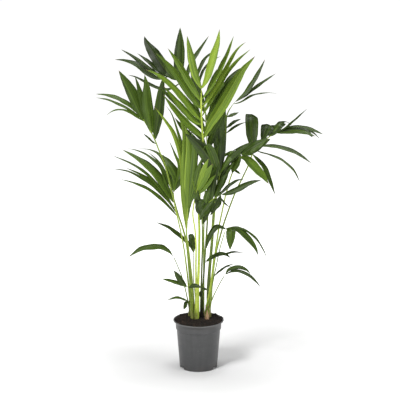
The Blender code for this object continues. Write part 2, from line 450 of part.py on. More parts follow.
# Inner wall from the floor up to the lip, as (radius, height).
POT_INNER = [
    (67.6 * MM, FLOOR_TOP),
    (76.1 * MM, 119.0 * MM),
    (75.6 * MM, 121.0 * MM),
    (76.8 * MM, 123.2 * MM),
    (77.8 * MM, 144.2 * MM),
    (81.7 * MM, 152.6 * MM),
    (82.4 * MM, 167.0 * MM),
    (84.9 * MM, 172.2 * MM),
    (88.2 * MM, 176.2 * MM),
    (88.6 * MM, 179.2 * MM),
]

# Under the floor: inside of the foot ring, then the boss.
POT_UNDER = [
    (BASE_RADIUS - WALL, 0.0),
    (67.3 * MM, FLOOR_UNDERSIDE),
    (BOSS_RADIUS, FLOOR_UNDERSIDE),
    (BOSS_RADIUS, 0.0),
    (0.0, 0.0),
]


def build_pot():
    """The turned pot, notched at the foot and drilled through the floor."""
    profile = [(0.0, FLOOR_TOP)] + POT_INNER + POT_OUTER + POT_UNDER
    pot = lathe("pot", profile, POT_STEPS, PALM)
    for index, degrees in enumerate(NOTCH_ANGLES):
        turn = Matrix.Rotation(math.radians(degrees), 4, "Z")
        height = NOTCH_HEIGHT
        place = turn @ Matrix.Translation((0.0, -BASE_RADIUS, 0.5 * height - 1.0 * MM))
        mesh = box_mesh("notch_cutter", (NOTCH_WIDTH, 9 * MM, height + 1.0 * MM), place)
        cut(pot, add_cutter(f"notch_cutter_{index}", mesh))
    for index in range(DRAIN_COUNT):
        angle = 2 * math.pi * (index + 0.29) / DRAIN_COUNT
        centre = (DRAIN_CIRCLE * math.cos(angle), DRAIN_CIRCLE * math.sin(angle))
        mesh = rod_mesh("drain_cutter", DRAIN_RADIUS, 0.5 * FLOOR_UNDERSIDE, 2 * FLOOR_TOP, centre, 12)
        cut(pot, add_cutter(f"drain_cutter_{index}", mesh))
    pot.data.materials.append(make_material_for("pot", "pot_grey"))
    return pot


# --------------------------------------------------------------- the soil


def soil_height(radius, angle):
    """Height of the slightly heaped, uneven soil surface."""
    share = min(radius / SOIL_RADIUS, 1.0)
    heap = SOIL_EDGE + (SOIL_CROWN - SOIL_EDGE) * (1.0 - share * share)
    ripple = math.sin(3 * angle + 1.0) + 0.6 * math.sin(5 * angle - 60 * radius)
    return heap + SOIL_RIPPLE * ripple * share * (1.0 - share ** 6)


def build_soil():
    """The plug of soil that fills the pot, holed for each stem."""
    top = [(SOIL_RADIUS * ring / SOIL_RINGS, SOIL_CROWN) for ring in range(SOIL_RINGS)]
    side = [(radius - GAP, height) for radius, height in reversed(POT_INNER[1:7])]
    bottom = [(POT_INNER[0][0] - GAP, FLOOR_TOP + GAP), (0.0, FLOOR_TOP + GAP)]
    profile = top + [(SOIL_RADIUS, SOIL_EDGE)] + side + bottom
    plug = lathe("soil_plug", profile, POT_STEPS, PALM)
    mesh = baked_mesh(plug)
    bpy.data.objects.remove(plug)
    weld(mesh)
    for vertex in mesh.vertices:
        radius = math.hypot(vertex.co.x, vertex.co.y)
        if vertex.co.z > SOIL_EDGE - 1 * MM:
            vertex.co.z = soil_height(radius, math.atan2(vertex.co.y, vertex.co.x))
    soil = finish_object("soil", mesh, "soil_brown")
    for name, (across, depth) in STEMS.items():
        rod = rod_mesh("planting_hole", STEM_FOOT_RADIUS + GAP, STEM_BOTTOM - GAP, POT_HEIGHT * 1.1,
                       (across * CM, depth * CM), STEM_SIDES)
        cut(soil, add_cutter("hole_for_" + name, rod))
    return soil


# -------------------------------------------------------------- the stems


def build_stem(name, centre):
    """The sheathed foot of one seedling, from below the soil to where its stalks part."""
    profile = (
        (0.0, STEM_TOP),
        (STEM_TOP_RADIUS * 0.86, STEM_TOP),
        (STEM_TOP_RADIUS, STEM_TOP - 2 * MM),
        (STEM_FOOT_RADIUS, POT_HEIGHT),
        (STEM_FOOT_RADIUS, STEM_BOTTOM),
        (0.0, STEM_BOTTOM),
    )
    turned = lathe(name + "_turned", profile, STEM_SIDES, PALM)
    turned.location = (centre[0] * CM, centre[1] * CM, 0.0)
    mesh = baked_mesh(turned)
    bpy.data.objects.remove(turned)
    weld(mesh)
    colours = {"stem_dark": "sheath_dark", "stem_tan": "sheath_tan"}
    return finish_object(name, mesh, colours.get(name, "sheath_green"))


# ------------------------------------------------------------- the fronds


def sight(across, height, depth):
    """A drawn point moved along its line of sight to its depth; centimetres in, metres out."""
    drawn = Vector((across * CM, 0.0, height * CM))
    share = (depth * CM - EYE.y) / (0.0 - EYE.y)
    return EYE + (drawn - EYE) * share


def smooth_path(points, count):
    """Points spread evenly along a rounded path through the given ones."""
    padded = [2 * points[0] - points[1]] + list(points) + [2 * points[-1] - points[-2]]
    fine = []
    for index in range(1, len(padded) - 2):
        p0, p1, p2, p3 = padded[index - 1:index + 3]
        for step in range(8):
            t = step / 8
            fine.append(0.5 * (2 * p1 + (p2 - p0) * t + (2 * p0 - 5 * p1 + 4 * p2 - p3) * t * t
                               + (3 * p1 - p0 - 3 * p2 + p3) * t ** 3))
    fine.append(points[-1])
    lengths = [0.0]
    for before, after in zip(fine, fine[1:]):
        lengths.append(lengths[-1] + (after - before).length)
    even = []
    index = 0
    for step in range(count + 1):
        wanted = lengths[-1] * step / count
        while index < len(fine) - 2 and lengths[index + 1] < wanted:
            index += 1
        share = (wanted - lengths[index]) / (lengths[index + 1] - lengths[index])
        even.append(fine[index].lerp(fine[index + 1], share))
    return even, lengths[-1]


def outline_width(share):
    """Width of a leaflet at a share of its length, as a part of its full width."""
    for (start, low), (end, high) in zip(BLADE_OUTLINE, BLADE_OUTLINE[1:]):
        if share <= end:
            return low + (high - low) * (share - start) / (end - start)
    return BLADE_OUTLINE[-1][1]


def blade_frames(spine):
    """Directions along, across and out of a blade at each ring, carried along without twist."""
    frames = []
    across = None
    for ring, here in enumerate(spine):
        before = spine[max(ring - 1, 0)]
        after = spine[min(ring + 1, len(spine) - 1)]
        along = (after - before).normalized()
        if across is None:
            across = along.cross(EYE - here)
        across = (across - along * across.dot(along)).normalized()
        frames.append((along, across, across.cross(along)))
    return frames


def blade(name, midrib, seen_width, turn):
    """One leaflet: a creased strip that narrows to its tip, given its thickness."""
    length = smooth_path(midrib, 4)[1]
    rings = max(MIN_RINGS, min(MAX_RINGS, round(length / RING_SPACING)))
    spine = smooth_path(midrib, rings)[0]
    width = BLADE_FULLNESS * seen_width * CM / max(math.cos(math.radians(turn)), MIN_COSINE)
    frames = blade_frames(spine)
    work = bmesh.new()
    bmesh.ops.create_grid(work, x_segments=2, y_segments=rings, size=1.0)
    for vertex in work.verts:
        ring = round(0.5 * (vertex.co.y + 1.0) * rings)
        along, across, facing = frames[ring]
        tilt = Matrix.Rotation(math.radians(turn), 3, along)
        reach = 0.5 * width * outline_width(ring / rings) * round(vertex.co.x)
        vertex.co = spine[ring] + tilt @ (across * reach - facing * BLADE_FOLD * abs(reach))
    mesh = bpy.data.meshes.new(name)
    work.to_mesh(mesh)
    work.free()
    strip = add_object(name, mesh, WORK)
    solidify = strip.modifiers.new("thickness", "SOLIDIFY")
    solidify.thickness = BLADE_THICKNESS
    solidify.offset = 0.0
    solid = baked_mesh(strip)
    bpy.data.objects.remove(strip)
    weld(solid)
    return solid


def stalk(name, points, radii):
    """A stalk and its rib: a tapering round rod along a path, with closed ends."""
    curve = bpy.data.curves.new(name, "CURVE")
    curve.dimensions = "3D"
    curve.bevel_depth = radii[0] * MM
    curve.bevel_resolution = STALK_RESOLUTION
    curve.use_fill_caps = True
    spline = curve.splines.new("POLY")
    spline.points.add(len(points) - 1)
    for index, point in enumerate(points):
        spline.points[index].co = (*point, 1.0)
        share = index / (len(points) - 1)
        spline.points[index].radius = 1.0 + (radii[1] / radii[0] - 1.0) * share
    obj = bpy.data.objects.new(name, curve)
    WORK.objects.link(obj)
    mesh = baked_mesh(obj)
    bpy.data.objects.remove(obj)
    weld(mesh)
    return mesh


def nearest_on_stalk(points, drawn, across, height, index_of_leaflet):
    """The stalk's middle nearest to a drawn point, and its depth there.

    Feet at the end of the rib are stepped back, so no two leave the same point.
    """
    best = None
    limit = 0.96 - FOOT_STEP * index_of_leaflet
    for index in range(len(drawn) - 1):
        (x0, z0, y0), (x1, z1, y1) = drawn[index], drawn[index + 1]
        run = (x1 - x0) ** 2 + (z1 - z0) ** 2
        share = ((across - x0) * (x1 - x0) + (height - z0) * (z1 - z0)) / run
        share = min(max(share, 1.0 - limit), limit)
        away = math.hypot(x0 + (x1 - x0) * share - across, z0 + (z1 - z0) * share - height)
        if best is None or away < best[0]:
            best = (away, points[index].lerp(points[index + 1], share), y0 + (y1 - y0) * share)
    return best[1], best[2]


def leaflet_midrib(points, drawn, midrib, reach, index_of_leaflet):
    """A leaflet's midrib in space, starting in the middle of the stalk."""
    foot, foot_depth = nearest_on_stalk(points, drawn, midrib[0][0], midrib[0][1], index_of_leaflet)
    spread = [0.0]
    for before, after in zip(midrib, midrib[1:]):
        spread.append(spread[-1] + math.hypot(after[0] - before[0], after[1] - before[1]))
    path = [foot]
    for point, far in zip(midrib[1:], spread[1:]):
        offset = point[2] if len(point) == 3 else reach * (far / spread[-1]) ** REACH_POWER
        path.append(sight(point[0], point[1], foot_depth + offset))
    return path


def build_frond(name, material, radii, drawn, leaflets):
    """A compound leaf: the stalk with each leaflet joined to it as one body."""
    points = [sight(*point) for point in drawn]
    points[0] = Vector((drawn[0][0] * CM, drawn[0][2] * CM, STEM_TOP + GAP))
    rise = points[0] + Vector((0.0, 0.0, FOOT_RISE))
    frond = finish_object(name, stalk(name, [points[0], rise] + points[1:], radii), material)
    for index, (seen_width, turn, reach, midrib) in enumerate(leaflets):
        path = leaflet_midrib(points, drawn, midrib, reach, index)
        mesh = blade(f"{name}_leaflet_{index}", path, seen_width, turn)
        leaflet = add_object(f"{name}_leaflet_{index}", mesh, WORK)
        union = frond.modifiers.new("join", "BOOLEAN")
        union.operation = "UNION"
        union.solver = "EXACT"
        union.object = leaflet
        joined = baked_mesh(frond)
        frond.modifiers.clear()
        frond.data = joined
        bpy.data.objects.remove(leaflet)
    frond.data.shade_smooth()
    return frond


for old in list(bpy.data.objects):
    bpy.data.objects.remove(old, do_unlink=True)

PALM = new_collection("potted_palm")
CUTTERS = new_collection("cutters")
WORK = new_collection("work")

build_pot()
build_soil()
for stem_name, stem_centre in STEMS.items():
    build_stem(stem_name, stem_centre)
for frond_data in FRONDS:
    build_frond(*frond_data)
bpy.data.collections.remove(WORK)
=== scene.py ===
# %% [markdown]
# # A clump of young feather palms in a nursery pot
# This file dresses a finished technical model. All lengths are metres, Z is up
# and -Y is the front of the plant.

# %% Load the frame
import math
import random

import bmesh
import bpy
from mathutils import Matrix, Vector, noise


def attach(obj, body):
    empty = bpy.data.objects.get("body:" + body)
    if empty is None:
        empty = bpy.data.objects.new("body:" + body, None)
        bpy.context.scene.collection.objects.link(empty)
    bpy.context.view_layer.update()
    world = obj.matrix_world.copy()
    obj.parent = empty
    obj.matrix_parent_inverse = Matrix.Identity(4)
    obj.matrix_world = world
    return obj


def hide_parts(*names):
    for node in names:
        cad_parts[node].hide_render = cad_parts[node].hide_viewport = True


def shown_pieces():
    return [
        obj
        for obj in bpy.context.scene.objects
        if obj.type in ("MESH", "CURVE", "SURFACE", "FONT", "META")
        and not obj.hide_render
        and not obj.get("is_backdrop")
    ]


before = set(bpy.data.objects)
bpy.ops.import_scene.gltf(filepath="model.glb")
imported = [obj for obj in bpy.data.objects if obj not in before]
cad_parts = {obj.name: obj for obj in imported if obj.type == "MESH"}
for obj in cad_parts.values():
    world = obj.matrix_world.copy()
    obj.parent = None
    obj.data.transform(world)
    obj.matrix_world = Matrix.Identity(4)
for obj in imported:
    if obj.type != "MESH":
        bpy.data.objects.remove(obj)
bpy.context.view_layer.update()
CM = 0.01
MM = 0.001

# %% [markdown]
# ## Sums and nodes
# Materials and shape rules are both made of nodes.  Writing each node out would
# bury the idea, so a small class wraps a socket: adding or multiplying two of
# them adds a Math node.  Every other node comes from one method that takes the
# node's type, its settings and what goes into its sockets.

# %% The node helper
class Sum:
    """A number socket that can be added, multiplied and so on."""

    def __init__(self, sheet, socket):
        self.sheet = sheet
        self.socket = socket

    def maths(self, operation, *others):
        return self.sheet.node("ShaderNodeMath", {"operation": operation}, dict(enumerate((self, *others))))

    def __add__(self, other):
        return self.maths("ADD", other)

    def __sub__(self, other):
        return self.maths("SUBTRACT", other)

    def __mul__(self, other):
        return self.maths("MULTIPLY", other)

    def __pow__(self, other):
        return self.maths("POWER", other)

    def __rsub__(self, other):
        return self.sheet.node("ShaderNodeMath", {"operation": "SUBTRACT"}, {0: other, 1: self})

    __radd__ = __add__
    __rmul__ = __mul__

    def held(self):
        """The number kept between 0 and 1."""
        return self.sheet.node("ShaderNodeMath", {"operation": "ADD", "use_clamp": True}, {0: self, 1: 0.0})

    def rise(self, low, high):
        """A smooth step from 0 at low to 1 at high."""
        sockets = {"Value": self, "From Min": low, "From Max": high}
        return self.sheet.node("ShaderNodeMapRange", {"interpolation_type": "SMOOTHSTEP"}, sockets)


class Sheet:
    """A node tree that is filled in by code."""

    def __init__(self, tree):
        self.tree = tree

    def node(self, kind, settings=None, sockets=None, output=0):
        """Add a node; settings are set first, then its sockets get values or links."""
        made = self.tree.nodes.new(kind)
        for key, value in (settings or {}).items():
            setattr(made, key, value)
        for key, value in (sockets or {}).items():
            if isinstance(value, Sum):
                self.tree.links.new(value.socket, made.inputs[key])
            else:
                made.inputs[key].default_value = value
        return Sum(self, made.outputs[output])

    def ramp(self, amount, stops):
        """A colour that changes with a number; stops are (place, colour)."""
        made = self.tree.nodes.new("ShaderNodeValToRGB")
        band = made.color_ramp
        while len(band.elements) < len(stops):
            band.elements.new(1.0)
        for element, (place, colour) in zip(band.elements, stops):
            element.position = place
            element.color = (*colour, 1.0)
        self.tree.links.new(amount.socket, made.inputs[0])
        return Sum(self, made.outputs[0])

    def blend(self, amount, first, second, mode="MIX"):
        """A colour between two others; index 6 and 7 are the colour inputs of Mix."""
        settings = {"data_type": "RGBA", "blend_type": mode}
        colours = [value if isinstance(value, Sum) else (*value, 1.0) for value in (first, second)]
        return self.node("ShaderNodeMix", settings, {0: amount, 6: colours[0], 7: colours[1]}, output=2)

    def along(self, vector, amount):
        """A vector made longer or shorter."""
        return self.node("ShaderNodeVectorMath", {"operation": "SCALE"}, {0: vector, "Scale": amount})

    def plus(self, first, second):
        """Two vectors added."""
        return self.node("ShaderNodeVectorMath", {"operation": "ADD"}, {0: first, 1: second})

    def xyz(self, across, deep, high):
        """A vector from three numbers."""
        return self.node("ShaderNodeCombineXYZ", {}, {0: across, 1: deep, 2: high})

    def speckle(self, place, scale, detail=3.0, roughness=0.5):
        """Soft noise from 0 to 1 at a place."""
        sockets = {"Vector": place, "Scale": scale, "Detail": detail, "Roughness": roughness}
        return self.node("ShaderNodeTexNoise", {}, sockets)

    def stored(self, name):
        """A number kept on the mesh under that name."""
        return self.node("ShaderNodeAttribute", {"attribute_name": name}, output=2)


def new_finish(name, **constants):
    """A material with a Principled shader; returns it, its sheet and the shader."""
    material = bpy.data.materials.new(name)
    material.use_nodes = True
    shader = material.node_tree.nodes["Principled BSDF"]
    for key, value in constants.items():
        shader.inputs[key.replace("_", " ")].default_value = value
    return material, Sheet(material.node_tree), shader


def connect(sheet, shader, **links):
    """Join worked-out values to the shader's sockets."""
    for key, value in links.items():
        sheet.tree.links.new(value.socket, shader.inputs[key.replace("_", " ")])


def bumped(sheet, height, strength, distance):
    """The surface direction once a height is laid on it."""
    return sheet.node("ShaderNodeBump", {}, {"Strength": strength, "Distance": distance, "Height": height})


print("helpers ready")

# %% [markdown]
# ## Leaf finish
# A palm leaflet is a stiff pleated strip.  Its colour runs in fine streaks from
# foot to tip, partly its own streaking and partly painted sheen, and broader
# bands across it are painted light and shade of its pleats.  It is yellower at
# its foot, paler beneath, and some tips dry to brown.  A painted image could
# hold that, but it would have to be unwrapped for every leaflet; instead each
# leaflet carries its own numbers (how far along, how far across, which side) and
# the colour is worked out from them.

# %% Leaf finish
DEEP_GREEN = (0.008, 0.014, 0.002)
DULL_GREEN = (0.022, 0.041, 0.005)
MID_GREEN = (0.052, 0.094, 0.009)
FRESH_GREEN = (0.104, 0.176, 0.014)
LIME_GREEN = (0.215, 0.310, 0.028)
DRY_BROWN = (0.130, 0.075, 0.030)
GREY_GREEN = (0.070, 0.098, 0.035)


def leaf_finish(name, shift, roughness):
    """Living leaf; shift moves the whole leaf towards lime or towards deep green."""
    material, sheet, shader = new_finish(name, IOR=1.45, Specular_IOR_Level=0.27)
    share, across, side = (sheet.stored(word) for word in ("share", "across_share", "side"))
    key, tone = sheet.stored("key"), sheet.stored("tone")
    # Painted light and shade: the fine streaks are partly the leaf's own streaking and partly painted sheen,
    # and the broad pleat bands paint the lit and shaded faces of the folds into the colour; both also feed
    # the bump.
    streak = sheet.speckle(sheet.xyz(across * 7.0, share * 1.1, key * 41.0), 1.0, 4.0, 0.6)
    patch = sheet.speckle(sheet.xyz(across * 0.9, share * 3.0, key * 17.0 + 5.0), 1.0, 2.0)
    vein = (across * 34.0).maths("SINE") * 0.5 + 0.5
    pleat_and_shade = sheet.speckle(sheet.xyz(across * 3.2, share * 0.25, key * 23.0 + 9.0), 1.0, 2.0).rise(0.30, 0.70)
    foot = 1 - share.rise(0.0, 0.22)
    amount = (tone + shift + (streak - 0.5) * 0.34 + (patch - 0.5) * 0.20 + (vein - 0.5) * 0.06
              + (pleat_and_shade - 0.5) * 0.30 + (key - 0.5) * 0.16 + foot * 0.10).held()
    green = sheet.ramp(amount, ((0.0, DEEP_GREEN), (0.25, DULL_GREEN), (0.5, MID_GREEN),
                                (0.75, FRESH_GREEN), (1.0, LIME_GREEN)))
    midrib = 1 - across.maths("ABSOLUTE").rise(0.03, 0.10)
    ribbed = sheet.blend(midrib * (1 - share) * 0.16, green, LIME_GREEN)
    beneath = 1 - side.rise(-0.2, 0.2)
    paler = sheet.blend(beneath * 0.22, ribbed, GREY_GREEN)
    dryness = (share + (patch - 0.5) * 0.05 + key * 0.035).rise(0.975, 1.01)
    colour = sheet.blend(dryness, paler, DRY_BROWN)
    gloss = (streak - 0.5) * 0.18 + beneath * 0.18 + dryness * 0.2 + roughness
    height = vein * 0.6 + streak * 0.6 + pleat_and_shade * 1.2 + midrib * 0.8
    connect(sheet, shader, Base_Color=colour, Roughness=gloss, Normal=bumped(sheet, height, 0.35, 0.0006))
    return material


# Three copies of one leaf finish, a little lighter or deeper; the deeper copies go on fronds at the back and
# low down, partly as painted shade.
LEAF = {
    "leaf_bright": leaf_finish("leaf_bright", 0.04, 0.42),
    "leaf_mid": leaf_finish("leaf_mid", 0.0, 0.41),
    "leaf_dark": leaf_finish("leaf_dark", -0.02, 0.39),
}
print("leaf finishes:", ", ".join(LEAF))

# %% [markdown]
# ## Stalk finish
# The stalks are smooth and fleshy: olive where they leave the soil, clear
# yellow-green above, with long pale streaks and a few brown flecks low down.
# Broad bands round each stalk paint a lit side and a shaded side into its colour.

# %% Stalk finish
def stalk_finish():
    """The skin of the leaf stalks, read from the numbers each stalk carries."""
    material, sheet, shader = new_finish("stalk_green", IOR=1.45)
    share, across = sheet.stored("share"), sheet.stored("across_share")
    side, key, tone = sheet.stored("side"), sheet.stored("key"), sheet.stored("tone")
    round_it = sheet.xyz(across * 3.0, side * 3.0, share * 6.0 + key * 31.0)
    streak = sheet.speckle(round_it, 1.4, 4.0, 0.6)
    # Painted light and shade: these broad bands round the stalk make one side lighter and the other darker,
    # and the palest end of the ramp below is the painted highlight.
    lit_side_place = sheet.xyz(across * 1.5, side * 1.5, share * 2.0 + key * 57.0)
    band = sheet.speckle(lit_side_place, 1.0, 1.0).rise(0.36, 0.64)
    low = 1 - share.rise(0.0, 0.16)
    amount = (tone + (streak - 0.5) * 0.45 + (band - 0.5) * 0.42 - low * 0.12 - 0.03).held()
    green = sheet.ramp(amount, ((0.0, (0.022, 0.034, 0.006)), (0.3, (0.075, 0.120, 0.012)),
                                (0.6, (0.230, 0.330, 0.022)), (0.8, (0.440, 0.550, 0.045)),
                                (1.0, (0.680, 0.740, 0.160))))
    fleck_place = sheet.xyz(across * 2.0, side * 2.0, share * 34.0 + key * 13.0)
    fleck = sheet.speckle(fleck_place, 2.2, 2.0).rise(0.58, 0.70) * low
    colour = sheet.blend(fleck * 0.75, green, (0.120, 0.075, 0.035))
    height = sheet.speckle(sheet.xyz(across * 9.0, side * 9.0, share * 5.0), 1.0)
    connect(sheet, shader, Base_Color=colour, Roughness=streak * 0.2 + 0.32,
            Normal=bumped(sheet, height, 0.3, 0.0008))
    return material


STALK = stalk_finish()
print("stalk finish:", STALK.name)

# %% [markdown]
# ## Sheath, soil and plastic finishes
# The foot of each seedling is wrapped in old leaf sheaths that fray to fibres.
# The soil is dark peat: every lump takes its own brown.  The pot is moulded
# grey plastic, dull, with faint upright flow marks and a dusting of soil.

# %% Sheath, soil and plastic
def sheath_finish(name, dark, light, frayed):
    """Fibrous sheath: streaks that run up the stem, drier towards the frayed top."""
    material, sheet, shader = new_finish(name)
    place = sheet.node("ShaderNodeTexCoord", output=3)
    long_way = sheet.node("ShaderNodeMapping", {}, {"Vector": place, "Scale": (900.0, 900.0, 45.0)})
    fibre = sheet.speckle(long_way, 0.7, 4.0, 0.65)
    blotch = sheet.speckle(place, 85.0, 3.0)
    amount = ((fibre - 0.5) * 1.5 + (blotch - 0.5) * 0.6 + 0.5).held()
    streaked = sheet.blend(amount, dark, light)
    high = sheet.stored("share").rise(0.35, 1.0) * (blotch + 0.35)
    colour = sheet.blend((high * 0.8).held(), streaked, frayed)
    connect(sheet, shader, Base_Color=colour, Roughness=fibre * 0.25 + 0.55,
            Normal=bumped(sheet, fibre, 0.6, 0.0010))
    return material


SHEATH_COLOURS = {
    "green": ((0.055, 0.080, 0.012), (0.380, 0.450, 0.070), (0.200, 0.190, 0.050)),
    "dark": ((0.012, 0.010, 0.007), (0.060, 0.045, 0.028), (0.045, 0.032, 0.020)),
    "tan": ((0.230, 0.120, 0.055), (0.800, 0.560, 0.340), (0.420, 0.250, 0.120)),
}
SHEATH = {kind: sheath_finish("sheath_" + kind, *colours) for kind, colours in SHEATH_COLOURS.items()}


def soil_finish():
    """Damp peat with paler fibres and browner lumps."""
    material, sheet, shader = new_finish("soil_peat")
    place = sheet.node("ShaderNodeTexCoord", output=3)
    lump = sheet.node("ShaderNodeTexVoronoi", {}, {"Vector": place, "Scale": 190.0}, output=1)
    lump_shade = sheet.node("ShaderNodeSeparateColor", {}, {0: lump})
    grain = sheet.speckle(place, 420.0, 4.0, 0.7)
    damp = sheet.speckle(place, 32.0, 2.0)
    amount = (lump_shade * 0.45 + grain * 0.55 + (damp - 0.5) * 0.5).held()
    colour = sheet.ramp(amount, ((0.0, (0.003, 0.002, 0.002)), (0.45, (0.009, 0.005, 0.003)),
                                 (0.75, (0.030, 0.016, 0.009)), (1.0, (0.120, 0.068, 0.038))))
    connect(sheet, shader, Base_Color=colour, Roughness=grain * 0.2 + 0.78,
            Normal=bumped(sheet, grain, 0.9, 0.0016))
    return material


def plastic_finish():
    """Dull grey plastic: upright flow marks, fine grain, soil dust at rim and foot, and a painted highlight
    along the top of the lip.
    """
    material, sheet, shader = new_finish("pot_plastic", IOR=1.48)
    place = sheet.node("ShaderNodeTexCoord", output=3)
    parts = sheet.node("ShaderNodeSeparateXYZ", {}, {0: place}, output=2)
    upright = sheet.node("ShaderNodeMapping", {}, {"Vector": place, "Scale": (70.0, 70.0, 3.0)})
    flow = sheet.speckle(upright, 1.0, 3.0, 0.5)
    cloud = sheet.speckle(place, 26.0, 4.0, 0.6)
    grain = sheet.speckle(place, 1500.0, 2.0)
    level = sheet.node("ShaderNodeMapping", {}, {"Vector": place, "Scale": (60.0, 60.0, 380.0)})
    scuff = sheet.speckle(level, 1.0)
    grey = sheet.blend((flow * 0.6 + cloud * 0.5 - 0.05).held(), (0.040, 0.041, 0.042), (0.080, 0.081, 0.082))
    scuffed = sheet.blend(scuff.rise(0.62, 0.75) * 0.22, grey, (0.230, 0.230, 0.230))
    # Painted highlight: the top of the lip is mixed towards light grey.
    rim = parts.rise(0.172, 0.181)
    lip_highlighted = sheet.blend(rim * 0.45, scuffed, (0.240, 0.240, 0.240))
    dusty_band = (1 - parts.rise(0.0, 0.03)) * 0.5 + parts.rise(0.150, 0.176) * 0.35
    dust = (dusty_band * cloud.rise(0.42, 0.70)).held()
    colour = sheet.blend(dust * 0.5, lip_highlighted, (0.110, 0.085, 0.065))
    connect(sheet, shader, Base_Color=colour, Roughness=cloud * 0.14 + dust * 0.3 + 0.30,
            Normal=bumped(sheet, grain * 0.4 + flow, 0.12, 0.0007))
    return material


SOIL = soil_finish()
PLASTIC = plastic_finish()
print("finishes:", len(SHEATH) + 2)

# %% [markdown]
# ## From parts to finished pieces
# Every finished piece is a plain mesh at the origin, closed, with its faces out.
# It rides on the one body of this object and takes the place of a part, which it hides.

# %% Finishing helpers
def placed(name, mesh):
    """An object at the origin holding the mesh."""
    obj = bpy.data.objects.new(name, mesh)
    bpy.context.scene.collection.objects.link(obj)
    return obj


def baked(obj):
    """The mesh that an object's modifiers give."""
    bpy.context.view_layer.update()
    return bpy.data.meshes.new_from_object(obj.evaluated_get(bpy.context.evaluated_depsgraph_get()))


def closed(mesh, within=0.00001):
    """Merge doubles, then turn every face outwards."""
    work = bmesh.new()
    work.from_mesh(mesh)
    bmesh.ops.remove_doubles(work, verts=work.verts, dist=within)
    bmesh.ops.dissolve_degenerate(work, edges=work.edges, dist=within)
    bmesh.ops.recalc_face_normals(work, faces=work.faces)
    work.to_mesh(mesh)
    work.free()
    mesh.shade_smooth()
    return mesh


def modelled(obj, modifiers):
    """Run modifiers given as (kind, settings) and keep the result as the object's mesh."""
    for kind, settings in modifiers:
        modifier = obj.modifiers.new(kind.lower(), kind)
        for key, value in settings.items():
            setattr(modifier, key, value)
    mesh = baked(obj)
    obj.modifiers.clear()
    obj.data = mesh
    return obj


def stands_for(obj, node):
    """The piece rides with the palm and takes the place of a part."""
    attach(obj, "root")
    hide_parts(node)
    print(f"{obj.name}: {len(obj.data.polygons)} faces")


# %% [markdown]
# ## Geometry node trees
# A tree is built once and used by many objects.  Its sizes are named inputs; a
# modifier's input is set through the socket's identifier, because names need not
# be unique.

# %% Geometry tree helpers
def new_tree(name, inputs):
    """A geometry tree with a geometry input and output and the named inputs given as (name, type)."""
    tree = bpy.data.node_groups.new(name, "GeometryNodeTree")
    tree.interface.new_socket("Geometry", in_out="INPUT", socket_type="NodeSocketGeometry")
    for label, kind in inputs:
        tree.interface.new_socket(label, in_out="INPUT", socket_type="NodeSocket" + kind)
    tree.interface.new_socket("Geometry", in_out="OUTPUT", socket_type="NodeSocketGeometry")
    sheet = Sheet(tree)
    entry = tree.nodes.new("NodeGroupInput")
    given = {socket.name: Sum(sheet, socket) for socket in entry.outputs if socket.name}
    return sheet, given


def end_tree(sheet, geometry):
    """Send a geometry to the tree's output."""
    leave = sheet.tree.nodes.new("NodeGroupOutput")
    sheet.tree.links.new(geometry.socket, leave.inputs[0])


def run_tree(mesh, tree, values):
    """Put a mesh through a tree with the values of its named inputs; returns a plain mesh."""
    carrier = placed("carrier", mesh)
    modifier = carrier.modifiers.new("tree", "NODES")
    modifier.node_group = tree
    for item in tree.interface.items_tree:
        if item.item_type == "SOCKET" and item.in_out == "INPUT" and item.name in values:
            modifier[item.identifier] = values[item.name]
    made = baked(carrier)
    bpy.data.objects.remove(carrier)
    return made


def named(sheet, name, kind="FLOAT"):
    """A stored attribute inside a geometry tree."""
    return sheet.node("GeometryNodeInputNamedAttribute", {"data_type": kind}, {"Name": name})


print("tree helpers ready")

# %% [markdown]
# ## The pot
# A thin-walled pot drawn as one profile and turned round its axis: a rolled lip,
# a flared collar that lets pots stack, a groove ring, a tapering wall and a
# notched foot.  Booleans cut the notches and drain holes, because they break the
# turned shape; the notch cutters have rounded edges, so the notches have too.

# %% Pot profile
POT_STEPS = 128
NOTCH_ANGLES = (-118, -62, 62, 118)
POT_OUTER = (
    (88.8, 179.4), (89.6, 180.0), (91.2, 179.95), (92.2, 179.3), (92.5, 178.4), (92.3, 176.9), (91.6, 175.8),
    (89.6, 174.6), (87.0, 172.6), (85.2, 169.8), (84.0, 166.4), (83.5, 160.0), (83.1, 150.2), (82.9, 147.8),
    (82.2, 146.4), (80.4, 145.6), (79.5, 144.8), (79.2, 141.5), (78.6, 125.0), (78.45, 123.2), (78.1, 122.3),
    (78.0, 121.0), (78.05, 119.8), (78.0, 118.9), (77.4, 112.0), (76.0, 96.0), (75.75, 94.6), (75.9, 93.4),
    (73.6, 64.0), (70.6, 26.0), (69.0, 4.0), (68.6, 0.9), (68.0, 0.0),
)
POT_INNER = (
    (0.0, 10.5), (60.0, 10.5), (66.0, 11.0), (67.6, 14.0), (76.1, 119.0), (75.6, 121.0), (76.8, 123.2),
    (77.8, 144.2), (81.2, 148.6), (81.8, 155.0), (82.5, 167.0), (84.9, 172.2), (88.0, 175.8), (88.5, 178.2),
)
POT_UNDER = (
    (67.2, 0.0), (66.9, 0.8), (67.0, 8.0), (18.6, 8.0), (18.0, 7.4), (18.0, 0.4), (17.6, 0.0), (0.0, 0.0),
)
NOTCH_SIZE = (0.029, 0.009, 0.010)
NOTCH_MIDDLE = (0.0, -0.0686, 0.003)
DRAIN_COUNT = 6
DRAIN_CIRCLE = 0.044
DRAIN_RADIUS = 0.0045
DRAIN_LENGTH = 0.016
DRAIN_MIDDLE = 0.010
DRAIN_START = 0.29
LIP_START = 0.170
LIP_HEIGHT = 0.010
LIP_SAG = 0.0007
LIP_SQUEEZE = 0.004
print("pot profile:", len(POT_INNER + POT_OUTER + POT_UNDER), "points")


